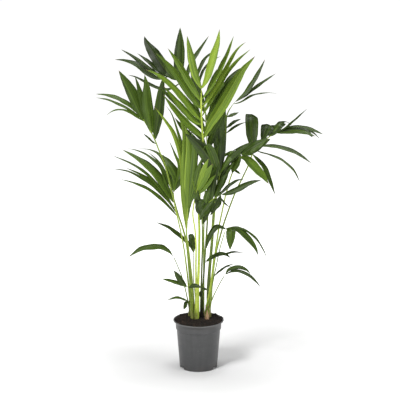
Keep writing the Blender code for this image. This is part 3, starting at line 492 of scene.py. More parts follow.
def turned(name, profile_mm, steps):
    """A solid turned round Z from (radius, height) points in millimetres."""
    mesh = bpy.data.meshes.new(name)
    points = [(radius * MM, 0.0, height * MM) for radius, height in profile_mm]
    mesh.from_pydata(points, [(index, index + 1) for index in range(len(points) - 1)], [])
    settings = {"axis": "Z", "steps": steps, "render_steps": steps, "use_merge_vertices": True,
                "merge_threshold": 0.00005}
    obj = modelled(placed(name, mesh), (("SCREW", settings),))
    closed(obj.data)
    return obj


def cutter_box(width, depth, height, place):
    """A box that only cuts."""
    work = bmesh.new()
    bmesh.ops.create_cube(work, size=1.0)
    bmesh.ops.scale(work, verts=work.verts, vec=(width, depth, height))
    bmesh.ops.bevel(work, geom=work.edges, offset=0.0016, segments=3, affect="EDGES", profile=0.5)
    bmesh.ops.transform(work, verts=work.verts, matrix=place)
    mesh = bpy.data.meshes.new("cutter")
    work.to_mesh(mesh)
    work.free()
    return placed("cutter", mesh)


def cutter_rod(radius, height, place):
    """A round rod that only cuts."""
    work = bmesh.new()
    bmesh.ops.create_cone(work, cap_ends=True, segments=24, radius1=radius, radius2=radius, depth=height,
                          matrix=Matrix.Translation(place))
    mesh = bpy.data.meshes.new("cutter")
    work.to_mesh(mesh)
    work.free()
    return placed("cutter", mesh)


# %% Turn and cut the pot
pot = turned("grow_pot", POT_INNER + POT_OUTER + POT_UNDER, POT_STEPS)
cutters = []
for degrees in NOTCH_ANGLES:
    place = Matrix.Rotation(math.radians(degrees), 4, "Z") @ Matrix.Translation(NOTCH_MIDDLE)
    cutters.append(cutter_box(*NOTCH_SIZE, place))
for index in range(DRAIN_COUNT):
    angle = math.tau * (index + DRAIN_START) / DRAIN_COUNT
    middle = (DRAIN_CIRCLE * math.cos(angle), DRAIN_CIRCLE * math.sin(angle), DRAIN_MIDDLE)
    cutters.append(cutter_rod(DRAIN_RADIUS, DRAIN_LENGTH, middle))
for cutter in cutters:
    modelled(pot, (("BOOLEAN", {"operation": "DIFFERENCE", "solver": "EXACT", "object": cutter}),))
for cutter in cutters:
    bpy.data.objects.remove(cutter)
for vertex in pot.data.vertices:
    lift = max(vertex.co.z - LIP_START, 0.0) / LIP_HEIGHT
    angle = math.atan2(vertex.co.y, vertex.co.x)
    wave = 0.5 * math.sin(3 * angle + 0.6) + 0.5 * math.sin(7 * angle)
    vertex.co.z -= LIP_SAG * lift * lift * (0.5 + 0.5 * wave)
    squeeze = 1.0 - LIP_SQUEEZE * lift * (0.5 + 0.5 * math.sin(2 * angle + 0.9))
    vertex.co.x *= squeeze
    vertex.co.y *= squeeze
pot.data.set_sharp_from_angle(angle=math.radians(38))
pot.data.materials.clear()
pot.data.materials.append(PLASTIC)
stands_for(pot, "pot")

# %% [markdown]
# ## The soil
# The plug of peat is a turned shape whose top is pushed up and down by noise:
# a low heap towards the stems, dips between lumps.  Loose crumbs and slivers of
# bark are scattered over the top by a geometry tree with a fixed seed, because
# placing hundreds of them by hand would look ordered.

# %% Soil surface
SOIL_RADIUS = 0.0864
SOIL_RINGS = 46
SOIL_TURNS = 150
SOIL_EDGE = 0.1748
SOIL_HEAP = 0.0068
SOIL_REAR_RISE = 0.0046
SOIL_LUMPS = 0.0030
SOIL_SIDE = (
    (84.2, 171.6), (82.0, 166.6), (81.0, 152.0), (77.4, 144.0), (75.2, 119.0), (67.2, 14.0), (60.0, 11.0),
)
print("soil surface:", SOIL_RINGS, "rings of", SOIL_TURNS)


def soil_top(across, deep):
    """Height of the peat above the pot's foot."""
    share = min(math.hypot(across, deep) / SOIL_RADIUS, 1.0)
    heap = SOIL_EDGE + SOIL_HEAP * (1 - share * share) + SOIL_REAR_RISE * max(deep, 0.0) / SOIL_RADIUS
    place = Vector((across, deep, 0.3))
    lumps = noise.fractal(place * 55, 0.9, 2.1, 3) * SOIL_LUMPS
    grit = noise.noise(place * 260) * 0.0013 + abs(noise.noise(place * 620)) * 0.0008
    return heap + (lumps + grit) * (1.0 - 0.6 * share ** 8)


def soil_plug():
    """A closed plug: the lumpy top, then the side down to the pot floor."""
    work = bmesh.new()
    middle = work.verts.new((0, 0, soil_top(0, 0)))
    rings = []
    for ring in range(1, SOIL_RINGS + 1):
        radius = SOIL_RADIUS * ring / SOIL_RINGS
        row = []
        for turn in range(SOIL_TURNS):
            angle = math.tau * turn / SOIL_TURNS
            across, deep = radius * math.cos(angle), radius * math.sin(angle)
            row.append(work.verts.new((across, deep, soil_top(across, deep))))
        rings.append(row)
    for radius, height in SOIL_SIDE:
        rings.append([work.verts.new((radius * MM * math.cos(math.tau * turn / SOIL_TURNS),
                                      radius * MM * math.sin(math.tau * turn / SOIL_TURNS), height * MM))
                      for turn in range(SOIL_TURNS)])
    base = work.verts.new((0, 0, 0.011))
    for turn in range(SOIL_TURNS):
        after = (turn + 1) % SOIL_TURNS
        work.faces.new((middle, rings[0][turn], rings[0][after]))
        work.faces.new((base, rings[-1][after], rings[-1][turn]))
        for inner, outer in zip(rings, rings[1:]):
            work.faces.new((inner[turn], outer[turn], outer[after], inner[after]))
    mesh = bpy.data.meshes.new("peat")
    work.to_mesh(mesh)
    work.free()
    return closed(mesh)


# %% Crumbs over the soil
def crumb_tree():
    """Scatter lumps and slivers over the upward faces of a mesh."""
    sheet, given = new_tree("crumbs", (("Lumps per area", "Float"), ("Slivers per area", "Float"),
                                       ("Lump size", "Float"), ("Seed", "Int"), ("Finish", "Material")))
    facing = sheet.node("ShaderNodeSeparateXYZ", {}, {0: sheet.node("GeometryNodeInputNormal")}, output=2)
    height = sheet.node("ShaderNodeSeparateXYZ", {}, {0: sheet.node("GeometryNodeInputPosition")}, output=2)
    upward = facing.maths("GREATER_THAN", 0.3) * height.maths("GREATER_THAN", 0.160)
    lump = sheet.node("GeometryNodeMeshIcoSphere", {}, {"Radius": 1.0, "Subdivisions": 1})
    sliver = sheet.node("GeometryNodeMeshCube", {}, {"Size": (5.2, 0.8, 0.5)})
    made = [given["Geometry"]]
    for density, shape, low, high in ((given["Lumps per area"], lump, 0.35, 1.5),
                                      (given["Slivers per area"], sliver, 0.4, 1.2)):
        points = sheet.node("GeometryNodeDistributePointsOnFaces", {},
                            {"Mesh": given["Geometry"], "Density": density, "Selection": upward,
                             "Seed": given["Seed"]})
        turn = sheet.node("FunctionNodeRandomValue", {"data_type": "FLOAT_VECTOR"},
                          {0: (-0.5, -0.5, 0.0), 1: (0.5, 0.5, 6.3)})
        size = sheet.node("FunctionNodeRandomValue", {"data_type": "FLOAT"}, {2: low, 3: high}, output=1)
        stretch = sheet.node("FunctionNodeRandomValue", {"data_type": "FLOAT_VECTOR"},
                             {0: (0.6, 0.6, 0.5), 1: (1.2, 1.2, 1.0)})
        scale = sheet.along(stretch, size * given["Lump size"])
        made.append(sheet.node("GeometryNodeInstanceOnPoints", {},
                               {"Points": points, "Instance": shape, "Rotation": turn, "Scale": scale}))
    joined = sheet.tree.nodes.new("GeometryNodeJoinGeometry")
    for part in reversed(made):
        sheet.tree.links.new(part.socket, joined.inputs[0])
    real = sheet.node("GeometryNodeRealizeInstances", {}, {0: Sum(sheet, joined.outputs[0])})
    sockets = {"Geometry": real, "Material": given["Finish"]}
    end_tree(sheet, sheet.node("GeometryNodeSetMaterial", {}, sockets))
    return sheet.tree


# %% Loose chunks
def add_chunk(mesh, place, size, seed):
    """A rough lump of peat or bark lying on the soil."""
    work = bmesh.new()
    work.from_mesh(mesh)
    made = bmesh.ops.create_icosphere(work, subdivisions=2, radius=1.0)
    for vert in made["verts"]:
        rough = 1 + 0.45 * noise.noise(vert.co * 1.4 + Vector((seed, 0, 0)))
        stretched = Vector((vert.co.x * size[0], vert.co.y * size[1], vert.co.z * size[2]))
        vert.co = Vector(place) + stretched * rough
    work.to_mesh(mesh)
    work.free()


# Each chunk is its place and its half sizes.
CHUNKS = (
    ((0.0885, 0.0120, 0.1812), (0.0042, 0.0030, 0.0022)),
    ((0.0835, 0.0260, 0.1805), (0.0040, 0.0034, 0.0026)),
    ((0.0620, 0.0580, 0.1815), (0.0046, 0.0036, 0.0030)),
    ((0.0200, 0.0780, 0.1825), (0.0050, 0.0034, 0.0028)),
    ((-0.0340, 0.0740, 0.1820), (0.0044, 0.0036, 0.0028)),
    ((-0.0660, 0.0500, 0.1812), (0.0040, 0.0034, 0.0026)),
    ((0.0520, -0.0300, 0.1790), (0.0044, 0.0034, 0.0026)),
    ((-0.0500, -0.0340, 0.1786), (0.0040, 0.0036, 0.0024)),
    ((0.0120, -0.0620, 0.1776), (0.0038, 0.0032, 0.0022)),
    ((0.0700, 0.0060, 0.1796), (0.0036, 0.0030, 0.0024)),
)
LUMPS_PER_AREA = 95000.0
SLIVERS_PER_AREA = 9000.0
LUMP_SIZE = 0.00170
crumbs = {"Lumps per area": LUMPS_PER_AREA, "Slivers per area": SLIVERS_PER_AREA,
          "Lump size": LUMP_SIZE, "Seed": 7, "Finish": SOIL}
peat = run_tree(soil_plug(), crumb_tree(), crumbs)
for index, (place, size) in enumerate(CHUNKS):
    add_chunk(peat, place, size, index * 3.7)
peat.materials.clear()
peat.materials.append(SOIL)
peat.polygons.foreach_set("material_index", [0] * len(peat.polygons))
peat.shade_smooth()
stands_for(placed("potting_soil", peat), "soil")

# %% [markdown]
# ## The stems
# Each seedling stands on a short stem hidden by old leaf sheaths.  A sheath is a
# strip wrapped nearly round the stem, slanting at the top and frayed.  Wraps of
# different turns overlap, each one a hair further out than the last, with the
# plain core of the stem inside them.

# %% Stem data
STEM_TOP = 0.2125
STEM_BOTTOM = 0.136
STEM_FOOT_RADIUS = 0.0064
STEM_TOP_RADIUS = 0.0054
STEMS = {
    "stem_left_rear": (-3.0, 3.2, "green"),
    "stem_left": (-2.15, 0.95, "green"),
    "stem_middle": (-0.6, 0.0, "green"),
    "stem_dark": (1.25, 3.4, "dark"),
    "stem_tan": (3.1, 0.2, "tan"),
    "stem_right_rear": (3.9, 2.9, "green"),
}
CORE_RISES = 11
CORE_TURNS = 32
CORE_INSET = 0.0010
WRAP_TURNS = 30
WRAP_RISES = 22
WRAP_BOTTOM = 0.150
WRAP_TOPS = (0.243, 0.232, 0.217, 0.200)
WRAP_WALL = 0.0006
WRAP_STEP = 0.0004
WRAP_FLARE = 0.0006
SOIL_LINE = 0.165
FIBRE_RADIUS = 0.00022
FIBRE_STEPS = 5
FIBRE_COUNTS = {"green": 9, "dark": 9, "tan": 26}
print(len(STEMS), "stems,", len(WRAP_TOPS), "wraps each")


def stem_core(work, centre, share_layer):
    """The ribbed core, from under the soil to where the stalks part."""
    rings = []
    for rise in range(CORE_RISES + 1):
        share = rise / CORE_RISES
        height = STEM_BOTTOM + (STEM_TOP - STEM_BOTTOM) * share
        radius = STEM_FOOT_RADIUS + (STEM_TOP_RADIUS - STEM_FOOT_RADIUS) * share - CORE_INSET
        if rise == CORE_RISES:
            radius *= 0.85
        row = []
        for turn in range(CORE_TURNS):
            angle = math.tau * turn / CORE_TURNS
            ribbed = radius * (1 + 0.035 * math.sin(9 * angle) + 0.02 * math.sin(17 * angle + 5 * share))
            vert = work.verts.new((centre[0] + ribbed * math.cos(angle),
                                   centre[1] + ribbed * math.sin(angle), height))
            vert[share_layer] = 0.2 * share
            row.append(vert)
        rings.append(row)
    for lower, upper in zip(rings, rings[1:]):
        for turn in range(CORE_TURNS):
            after = (turn + 1) % CORE_TURNS
            work.faces.new((lower[turn], lower[after], upper[after], upper[turn]))
    work.faces.new(list(reversed(rings[0])))
    work.faces.new(rings[-1])


def sheath_wrap(work, centre, layer, turn_to, top, dice, share_layer):
    """One closed strip wrapped round the stem, slanting and ragged at its top."""
    inner, outer = [], []
    spread = math.radians(dice.uniform(280, 335))
    ragged = [dice.uniform(0.0, 1.0) for _ in range(WRAP_TURNS + 1)]
    for step in range(WRAP_TURNS + 1):
        across = 2 * step / WRAP_TURNS - 1
        angle = turn_to + 0.5 * spread * across
        reach = top * (1 - 0.32 * abs(across) ** 1.5) + (ragged[step] - 0.5) * 0.0028
        for rows, offset in ((inner, 0.0), (outer, WRAP_WALL)):
            row = []
            for rise in range(WRAP_RISES + 1):
                share = rise / WRAP_RISES
                height = WRAP_BOTTOM + (reach - WRAP_BOTTOM) * share
                body = min(max((height - SOIL_LINE) / (STEM_TOP - SOIL_LINE), 0.0), 1.3)
                radius = STEM_FOOT_RADIUS + 0.0008 - (STEM_FOOT_RADIUS - STEM_TOP_RADIUS + 0.0010) * body
                flare = WRAP_FLARE * max(share - 0.82, 0.0) / 0.18 * (0.4 + 0.6 * ragged[step])
                fold = 0.00035 * math.sin(13 * angle + layer)
                radius += layer * WRAP_STEP + flare + fold + offset * (1 - 0.6 * share)
                vert = work.verts.new((centre[0] + radius * math.cos(angle),
                                       centre[1] + radius * math.sin(angle), height))
                vert[share_layer] = share
                row.append(vert)
            rows.append(row)
    for step in range(WRAP_TURNS):
        for rise in range(WRAP_RISES):
            for rows in (inner, outer):
                near, far = rows[step], rows[step + 1]
                work.faces.new((near[rise], far[rise], far[rise + 1], near[rise + 1]))
        for end in (0, WRAP_RISES):
            work.faces.new((inner[step][end], inner[step + 1][end], outer[step + 1][end], outer[step][end]))
    for side in (0, WRAP_TURNS):
        for rise in range(WRAP_RISES):
            near, far = inner[side], outer[side]
            work.faces.new((near[rise], near[rise + 1], far[rise + 1], far[rise]))


# %% [markdown]
# ## Loose fibres
# Torn sheaths leave single fibres standing off the stem.  Each is a thin tapering
# tube along a short curve: a geometry tree turns curves into tubes, whatever
# their number.

# %% Build the stems
def fibre_tree():
    """Edges become thin round fibres."""
    sheet, given = new_tree("fibres", (("Radius", "Float"), ("Finish", "Material")))
    curve = sheet.node("GeometryNodeMeshToCurve", {}, {0: given["Geometry"]})
    ring = sheet.node("GeometryNodeCurvePrimitiveCircle", {}, {"Resolution": 5, "Radius": given["Radius"]})
    tube = sheet.node("GeometryNodeCurveToMesh", {}, {0: curve, 1: ring, "Fill Caps": True})
    real = sheet.node("GeometryNodeRealizeInstances", {}, {0: tube})
    sockets = {"Geometry": real, "Material": given["Finish"]}
    end_tree(sheet, sheet.node("GeometryNodeSetMaterial", {}, sockets))
    return sheet.tree


FIBRES = fibre_tree()


def loose_fibres(centre, count, dice, finish):
    """A few curling fibres about a stem's top, as one mesh of closed tubes."""
    points, edges = [], []
    for _ in range(count):
        angle, start = dice.uniform(0, math.tau), dice.uniform(0.172, 0.205)
        length, lean, curl = dice.uniform(0.012, 0.030), dice.uniform(0.05, 0.30), dice.uniform(-0.5, 0.5)
        for step in range(FIBRE_STEPS + 1):
            share = step / FIBRE_STEPS
            out = 0.0088 + length * lean * share ** 1.6
            bend = angle + curl * share
            if step:
                edges.append((len(points) - 1, len(points)))
            points.append((centre[0] + out * math.cos(bend), centre[1] + out * math.sin(bend),
                           start + length * share))
    mesh = bpy.data.meshes.new("fibres")
    mesh.from_pydata(points, edges, [])
    return run_tree(mesh, FIBRES, {"Radius": FIBRE_RADIUS, "Finish": finish})


def build_stem(name, across, deep, kind, dice):
    """Core, wraps and loose fibres of one stem as a single mesh."""
    centre = (across * CM, deep * CM)
    work = bmesh.new()
    share_layer = work.verts.layers.float.new("share")
    stem_core(work, centre, share_layer)
    first = dice.uniform(0, math.tau)
    for layer, usual_top in enumerate(WRAP_TOPS):
        top = usual_top + dice.uniform(-0.005, 0.005)
        sheath_wrap(work, centre, layer, first + layer * 2.4, top, dice, share_layer)
    fibres = loose_fibres(centre, FIBRE_COUNTS[kind], dice, SHEATH[kind])
    work.from_mesh(fibres)
    mesh = bpy.data.meshes.new(name)
    work.to_mesh(mesh)
    work.free()
    closed(mesh)
    mesh.materials.clear()
    mesh.materials.append(SHEATH[kind])
    stands_for(placed("sheathed_" + name, mesh), name)


DICE = random.Random(11)
for stem_name, (across, deep, kind) in STEMS.items():
    build_stem(stem_name, across, deep, kind, DICE)

# %% [markdown]
# ## Where the fronds go
# A feather palm's leaf is a stalk, its rib and two rows of leaflets.  The fronds
# of this clump are laid out as a front elevation: each point is (across, height,
# depth) in centimetres, seen from an eye ahead of the plant, and is pushed along
# its line of sight to its depth.  Chosen points keep the habit of the plant: an
# upright bright crown, arching sides, small dark leaves low down.

# %% Frond layout
# Each frond: name, finish, stalk radius at foot and at end in mm, stalk points, leaflets.
# Each leaflet: seen width, turn about its midrib in degrees, depth reach of the tip, and its
# midrib from the stalk outwards; a midrib point may carry its own depth.
FRONDS = (
    ("frond_crown", "leaf_bright", (4.2, 1.8), (
        (-0.25, 21.3, -0.35), (-0.2, 30, -1.0), (0.1, 38, -1.6), (0.25, 46, -2.3),
        (0.3, 52, -2.9), (0.1, 57, -3.4), (0.25, 62, -4.2), (0.8, 70, -5.6),
        (1.3, 78, -7.4), (1.6, 84, -9.0), (1.3, 88, -10.4), (1.0, 94, -12.8),
        (0.95, 100, -15.2), (1.1, 104.5, -17.0)), (
        (2.3, 20, -6, ((1.1, 103), (-1.0, 108), (-2.2, 113), (-3.3, 118), (-4.0, 121.8))),
        (2.3, -20, -7, ((1.2, 103), (2.7, 106.5), (3.9, 110.5), (5.2, 115), (6.6, 119.5), (7.4, 124.1))),
        (1.4, -45, -4, ((1.0, 99), (3.5, 103), (5.8, 107.2), (8.0, 111.5), (9.8, 115.2), (12.4, 121.8))),
        (1.3, -45, -2, ((1.0, 96), (4.5, 101.5), (9.0, 109.5), (12.3, 115.3), (14.5, 118), (16.7, 119.6))),
        (1.3, -40, 0, ((1.0, 93), (5.0, 100.5), (9.5, 108.2), (13.5, 113), (18.3, 117.1))),
        (3.2, -15, -3, (
            (1.6, 85), (4.0, 90.5), (7.2, 95.5), (10.5, 101), (13.0, 105.5), (15.8, 110), (19.9, 114.6))),
        (2.0, 20, -3, ((0.9, 98.5), (-2.2, 103.7), (-5.0, 108.7), (-8.0, 113.5), (-10.8, 117.4))),
        (2.0, 25, -2, ((0.9, 95), (-2.0, 99.5), (-6.0, 105.7), (-10, 111), (-15, 115.7))),
        (1.8, 30, -1, ((1.0, 91.5), (-2.0, 95), (-5.0, 99.3), (-9.0, 103.9), (-14, 107.9), (-18.7, 109.9))),
        (1.8, 30, 0, ((1.2, 88.5), (-1.5, 91.5), (-5.0, 95.7), (-9.0, 100.2), (-12.3, 104))),
        (1.9, 35, 1, ((1.5, 85.5), (-1.5, 88.5), (-5.0, 92), (-8.5, 96), (-12.5, 100.9))),
    )),
    ("frond_crown_rear", "leaf_mid", (2.9, 1.5), (
        (1.8, 21.3, 3.05), (1.9, 28, 2.6), (1.9, 36, 2.2), (1.9, 44, 1.6), (1.9, 50, 0.6),
        (2.0, 56, -0.4), (2.2, 62, -1.4), (2.6, 70, -2.4), (3.0, 78, -3.4), (3.0, 84, -4.2),
        (2.7, 90, -5.0), (2.4, 95, -5.8), (2.2, 99, -6.6)), (
        (1.8, -25, -3, ((2.3, 98), (3.6, 102), (5.2, 106.5), (6.4, 110))),
        (1.7, 25, -2, ((2.2, 97.5), (0.6, 101.5), (-1.4, 106), (-3.0, 110.5))),
        (1.8, -30, -2, ((2.4, 95), (4.5, 99.5), (7.0, 104.5), (9.0, 108.5), (10.5, 111.5))),
        (1.8, 25, -2, ((2.4, 94.5), (0.0, 98.5), (-3.0, 102.8), (-6.0, 107), (-8.5, 110.5))),
        (2.0, -30, -1, ((2.6, 91.5), (5.0, 96), (8.0, 101), (11, 105.5), (13.2, 108.5))),
        (1.8, 30, -1, ((2.6, 91), (-0.5, 94.5), (-4.0, 98.5), (-8.0, 102.5), (-12, 106))),
        (2.2, -25, -1, ((2.8, 88), (5.0, 92.5), (7.8, 97.5), (10.5, 102.5), (12.6, 107))),
        (1.8, 30, -1, ((2.8, 87.5), (0.0, 90.5), (-3.5, 94), (-7.5, 98), (-11.5, 101.5), (-14.5, 104))),
        (2.2, -20, 0, ((3.0, 84.5), (5.0, 88.5), (7.0, 93), (9.0, 98), (10.4, 102.5))),
        (1.9, 30, -2.5, ((3.0, 84), (0.5, 86.5), (-3.0, 89.7), (-6.5, 93.2), (-10, 97))),
        (2.0, -15, 0, ((3.0, 81), (4.6, 85), (6.2, 89.5), (7.4, 94))),
        (1.9, 25, 1, ((3.0, 80.5), (1.0, 82.6), (-2.0, 85.4), (-5.5, 89), (-8.5, 92.8))),
    )),
    ("frond_back", "leaf_dark", (3.5, 1.6), (
        (1.65, 21.3, 3.8), (1.7, 30, 4.4), (2.1, 38, 5.0), (2.5, 44, 5.5), (2.9, 50, 6.0),
        (3.25, 56, 6.8), (3.6, 62, 7.6), (3.9, 70, 9.0), (3.9, 80, 10.5), (3.5, 88, 11.6),
        (2.6, 94, 12.6), (1.0, 99, 13.6), (-1.5, 102.5, 14.6), (-5.0, 105, 15.8),
        (-9.0, 106.7, 17.0), (-12, 107.5, 18.0)), (
        (3.7, 15, 6, ((-9.5, 106.8), (-12.5, 111), (-15.5, 115.5), (-18, 119), (-19, 121.6))),
        (1.2, 45, 4, ((-11.7, 107.4), (-15, 108.8), (-19, 111.7), (-23, 114.6), (-27.2, 117))),
        (1.4, 45, 8, ((-10.8, 107.2), (-14.5, 107), (-18, 108.9), (-22, 112), (-26, 113.2), (-29.5, 113.4))),
        (0.8, 50, 5, ((-6.0, 105.4), (-10.5, 103), (-14.5, 103.6), (-18, 105.2), (-22, 107.2), (-25, 108))),
        (3.3, -10, 4, ((-5.6, 105.2), (-7.0, 108.5), (-6.9, 113), (-6.6, 118), (-6.4, 124.7))),
        (1.3, -40, 5, ((-3.6, 104.2), (-3.9, 109), (-2.0, 113.5), (0.3, 117), (3.7, 121.8))),
        (1.1, -45, 3, ((-2.4, 103.1), (-0.5, 108.5), (1.7, 113.2), (4.2, 115.5), (7.6, 116.6))),
        (0.8, -45, 2, ((-0.6, 101.6), (0.8, 108), (3.0, 111.6), (6.0, 113.7), (8.0, 114.6))),
        (1.6, -40, 1, ((0.8, 99.3), (4.0, 101), (8.5, 103.6), (11, 107), (13.5, 109.3), (16.2, 111))),
    )),
    ("frond_left", "leaf_mid", (4.0, 1.6), (
        (-2.55, 21.3, 1.25), (-2.65, 26, 1.2), (-3.0, 32, 1.0), (-3.5, 38, 0.5), (-4.0, 44, -0.3),
        (-4.7, 48.5, -1.0), (-5.9, 53, -1.8), (-7.2, 57, -2.4), (-8.6, 62, -2.6), (-9.9, 67, -2.4),
        (-11.2, 72.5, -2.0), (-12.5, 77, -1.5), (-14, 80.7, -1.0), (-15.3, 84.2, -0.4),
        (-16.7, 87.2, 0.0), (-18.5, 90.3, 0.6), (-20.5, 93.4, 1.3), (-22.3, 95.6, 2.0)), (
        (3.4, 15, 4, ((-19.2, 91.5), (-21.3, 97), (-23.8, 102.5), (-26.5, 107), (-28.1, 109.6))),
        (1.8, 25, 3, ((-17.8, 89), (-19, 95), (-20.2, 100.5), (-21.5, 105), (-22.4, 107.5))),
        (3.2, 10, 2, ((-16.6, 87.2), (-17.4, 93), (-18.1, 99), (-18.3, 104), (-19, 108.1))),
        (3.0, -15, 3, ((-15.3, 84.3), (-15, 90), (-14, 96), (-13.2, 102), (-12.2, 108))),
        (1.4, 45, 3, ((-20.5, 93.5), (-24, 97.3), (-28, 99.7), (-32, 100.9), (-36.4, 101.2))),
        (0.8, 50, 0, ((-19.5, 92.2), (-24.5, 95.8), (-28, 97.6), (-32, 99.2), (-36.4, 99.9))),
        (0.6, 55, -2, ((-19, 91.4), (-25, 95.1), (-28, 95.7), (-30.5, 95.1), (-32.8, 93.4))),
        (0.6, 55, -1, ((-14.9, 83.3), (-16.3, 84.2), (-17.8, 85.6), (-19.6, 86.9))),
    )),
    ("frond_right_high", "leaf_dark", (4.2, 1.6), (
        (3.95, 21.3, 3.4), (3.85, 28, 3.4), (4.1, 36, 3.3), (4.6, 42, 3.2), (5.0, 47, 3.1),
        (5.35, 53, 3.0), (5.7, 58, 2.9), (6.2, 62.5, 2.8), (6.6, 67, 2.8), (7.1, 71, 2.8),
        (8.1, 75, 3.0), (9.2, 79, 3.2), (9.6, 84, 3.8), (9.8, 90, 4.6), (10.2, 94, 5.2),
        (12, 97.2, 5.8), (14, 99.6, 6.4)), (
        (1.4, -40, 3, ((13.3, 98.7), (16, 101.2), (18.8, 105.2), (21, 108.9), (23.4, 113.5))),
        (1.0, -50, 5, ((13, 98.4), (16, 100.6), (19, 103), (23, 105.8), (27.3, 108.5))),
        (0.6, -60, 7, ((12.3, 97.6), (15, 98.5), (19, 100.9), (24, 101.7), (28, 101.3))),
        (1.0, -40, 2, ((10.2, 93), (12, 93.9), (14.3, 94.6))),
        (1.0, -40, 3, ((9.9, 89.5), (12.5, 91.3), (15.2, 92.3))),
        (0.8, -40, 4, ((9.8, 87), (12.3, 89.2), (14.5, 90.4), (16.8, 91.1))),
        (3.2, 20, -2, ((9.2, 79.5), (8.3, 84), (7.6, 89), (7.9, 94), (9.0, 99))),
        (2.2, 30, -1, ((8.8, 78), (7.3, 81), (6.5, 85), (5.8, 90), (5.4, 94.5))),
        (3.0, 10, 1, ((9.7, 86), (8.5, 92), (7.6, 98), (7.8, 103), (9.0, 108.5))),
    )),
    ("frond_right_arching", "leaf_dark", (3.1, 1.4), (
        (3.5, 21.3, 0.65), (4.4, 27, 1.0), (4.9, 32, 1.15), (5.3, 36, 1.25), (5.8, 40, 1.35),
        (6.4, 43.5, 1.4), (8.0, 50, 1.5), (9.5, 55.2, 1.6), (11.5, 61, 1.7), (13, 65, 1.8),
        (14.5, 68.3, 1.9), (16.1, 71.7, 2.0), (17.7, 75.2, 2.1), (18.7, 78, 2.2),
        (19.4, 80.5, 2.5), (21, 82.6, 3.0), (24, 85, 3.5), (27, 87, 4.0), (29.5, 88.2, 4.5)), (
        (3.9, 10, 0, ((19.6, 81), (19.2, 85, -1), (19.1, 89, 0), (19.0, 92.3, 2), (18.9, 94, 5),
                      (18.8, 93, 9), (18.7, 90, 12.5))),
        (3.2, -10, 0, ((22.5, 83.8), (23.2, 86.5, 0), (23.9, 89, 1), (24.2, 90.5, 4), (24.4, 89.5, 8),
                       (24.6, 86.5, 11))),
        (1.5, -40, 0, ((25.5, 86), (27, 88.5, 1), (28.5, 90.7, 2), (29.9, 91.5, 4), (31.8, 91.0, 6),
                       (33.2, 89.8, 8))),
        (0.7, -60, -3, ((27, 87), (30, 88.7), (33, 91.2), (36, 93.8), (38.5, 96))),
        (1.2, -50, -5, ((28.5, 87.8), (32, 89.2), (36, 89.4), (40, 88.6), (44.3, 86.7))),
        (0.8, -50, -2, ((29.3, 88), (34, 88.8), (38.5, 88.4), (41, 87.2), (43.1, 85))),
        (1.3, -50, -8, ((27.5, 87.3), (31, 87.8), (34.5, 88.1), (38, 87.5), (41.5, 85.9))),
        (1.0, -55, -10, ((20.8, 82.3), (23.5, 82.8), (27, 82.7), (31, 81.8), (35.5, 79.8), (40.4, 76.1))),
        (0.6, -65, -13, ((19.6, 80.6), (22.5, 80.3), (26, 79.4), (30, 77.5), (34, 73.8), (36.4, 69.1))),
        (1.4, -30, -5, ((19.4, 80), (21.3, 77.6), (23.6, 75), (25.2, 71.3), (27.5, 64.6))),
        (0.9, 50, 5, ((20, 81.6), (17.8, 83.4), (15, 82.4), (12.2, 80.8), (9.8, 79))),
        (1.7, 45, 3, ((21, 82.6), (18.5, 82.4), (15.5, 81), (12.7, 79.2), (10.5, 77))),
    )),
    ("frond_right_low", "leaf_mid", (3.0, 1.5), (
        (2.7, 21.3, 0.6), (3.3, 24.5, 0.55), (4.0, 28, 0.4), (4.6, 32, 0.2), (5.1, 36, 0.0),
        (5.5, 40, -0.2), (6.1, 43.5, -0.4), (7.0, 50, -0.8), (7.7, 54.5, -1.1), (8.6, 59, -1.3),
        (9.4, 63, -1.6), (10.3, 66.6, -1.9), (11.1, 69.8, -2.2), (12.2, 73, -2.6), (13, 75.4, -3.0),
        (14, 77.6, -3.3), (15.5, 79.5, -3.6)), (
        (2.6, -20, -3, ((14.6, 78.5), (16.8, 78.2), (18.8, 76.6), (21.5, 73.6), (23.6, 71), (25.1, 68.6))),
        (2.6, 10, -1, ((12.4, 73.5), (13, 75.5), (13.9, 77.8), (14.9, 80.2))),
        (1.8, -40, -1, ((15.3, 79.3), (18, 80.8), (21, 82.6), (24.5, 84.8))),
        (0.8, -45, -3, ((12.7, 74.4), (13.7, 73.4), (15.1, 72.1))),
    )),
    ("frond_cross", "leaf_dark", (3.5, 1.7), (
        (3.5, 21.3, 2.6), (3.3, 28, 2.4), (3.7, 36, 1.8), (4.2, 42, 1.0), (4.7, 48, 0.0),
        (5.0, 54, -1.8), (5.4, 59, -3.2), (6.0, 63, -4.6), (6.7, 67, -6.0), (7.3, 70.5, -7.0),
        (7.9, 73, -7.6)), (
        (3.6, 20, -7, ((7.2, 70), (5.5, 74.5), (3.0, 79), (0.0, 82.8), (-4.9, 87.1))),
        (2.6, 10, 0, ((7.5, 71.3), (6.3, 75.5, -1), (5.0, 79.5, -2), (3.7, 82, -4), (2.5, 82.6, -6),
                      (1.8, 81, -8))),
        (1.6, -35, 2, ((7.8, 72.6), (9.2, 75.6), (11.2, 78.3), (14.2, 80.8), (18, 83.8))),
        (1.5, -30, 0, ((7.1, 69.5), (9.0, 71.5), (10.5, 74), (12.7, 76.8))),
        (1.5, 10, 1, ((7.7, 72.3), (7.6, 76), (7.8, 80.5), (8.2, 86.3))),
        (2.4, 15, -5, ((6.4, 66), (5.0, 69.5), (3.0, 73), (0.8, 76.5))),
    )),
    ("frond_left_narrow", "leaf_mid", (3.2, 1.6), (
        (-2.65, 21.3, 3.55), (-3.2, 26, 3.5), (-3.75, 32, 3.3), (-4.4, 38, 3.0), (-5.3, 45, 2.6),
        (-6.4, 51, 2.2), (-7.5, 56, 2.0), (-8.2, 59, 2.2), (-8.8, 63, 2.7), (-8.8, 67, 3.2)), (
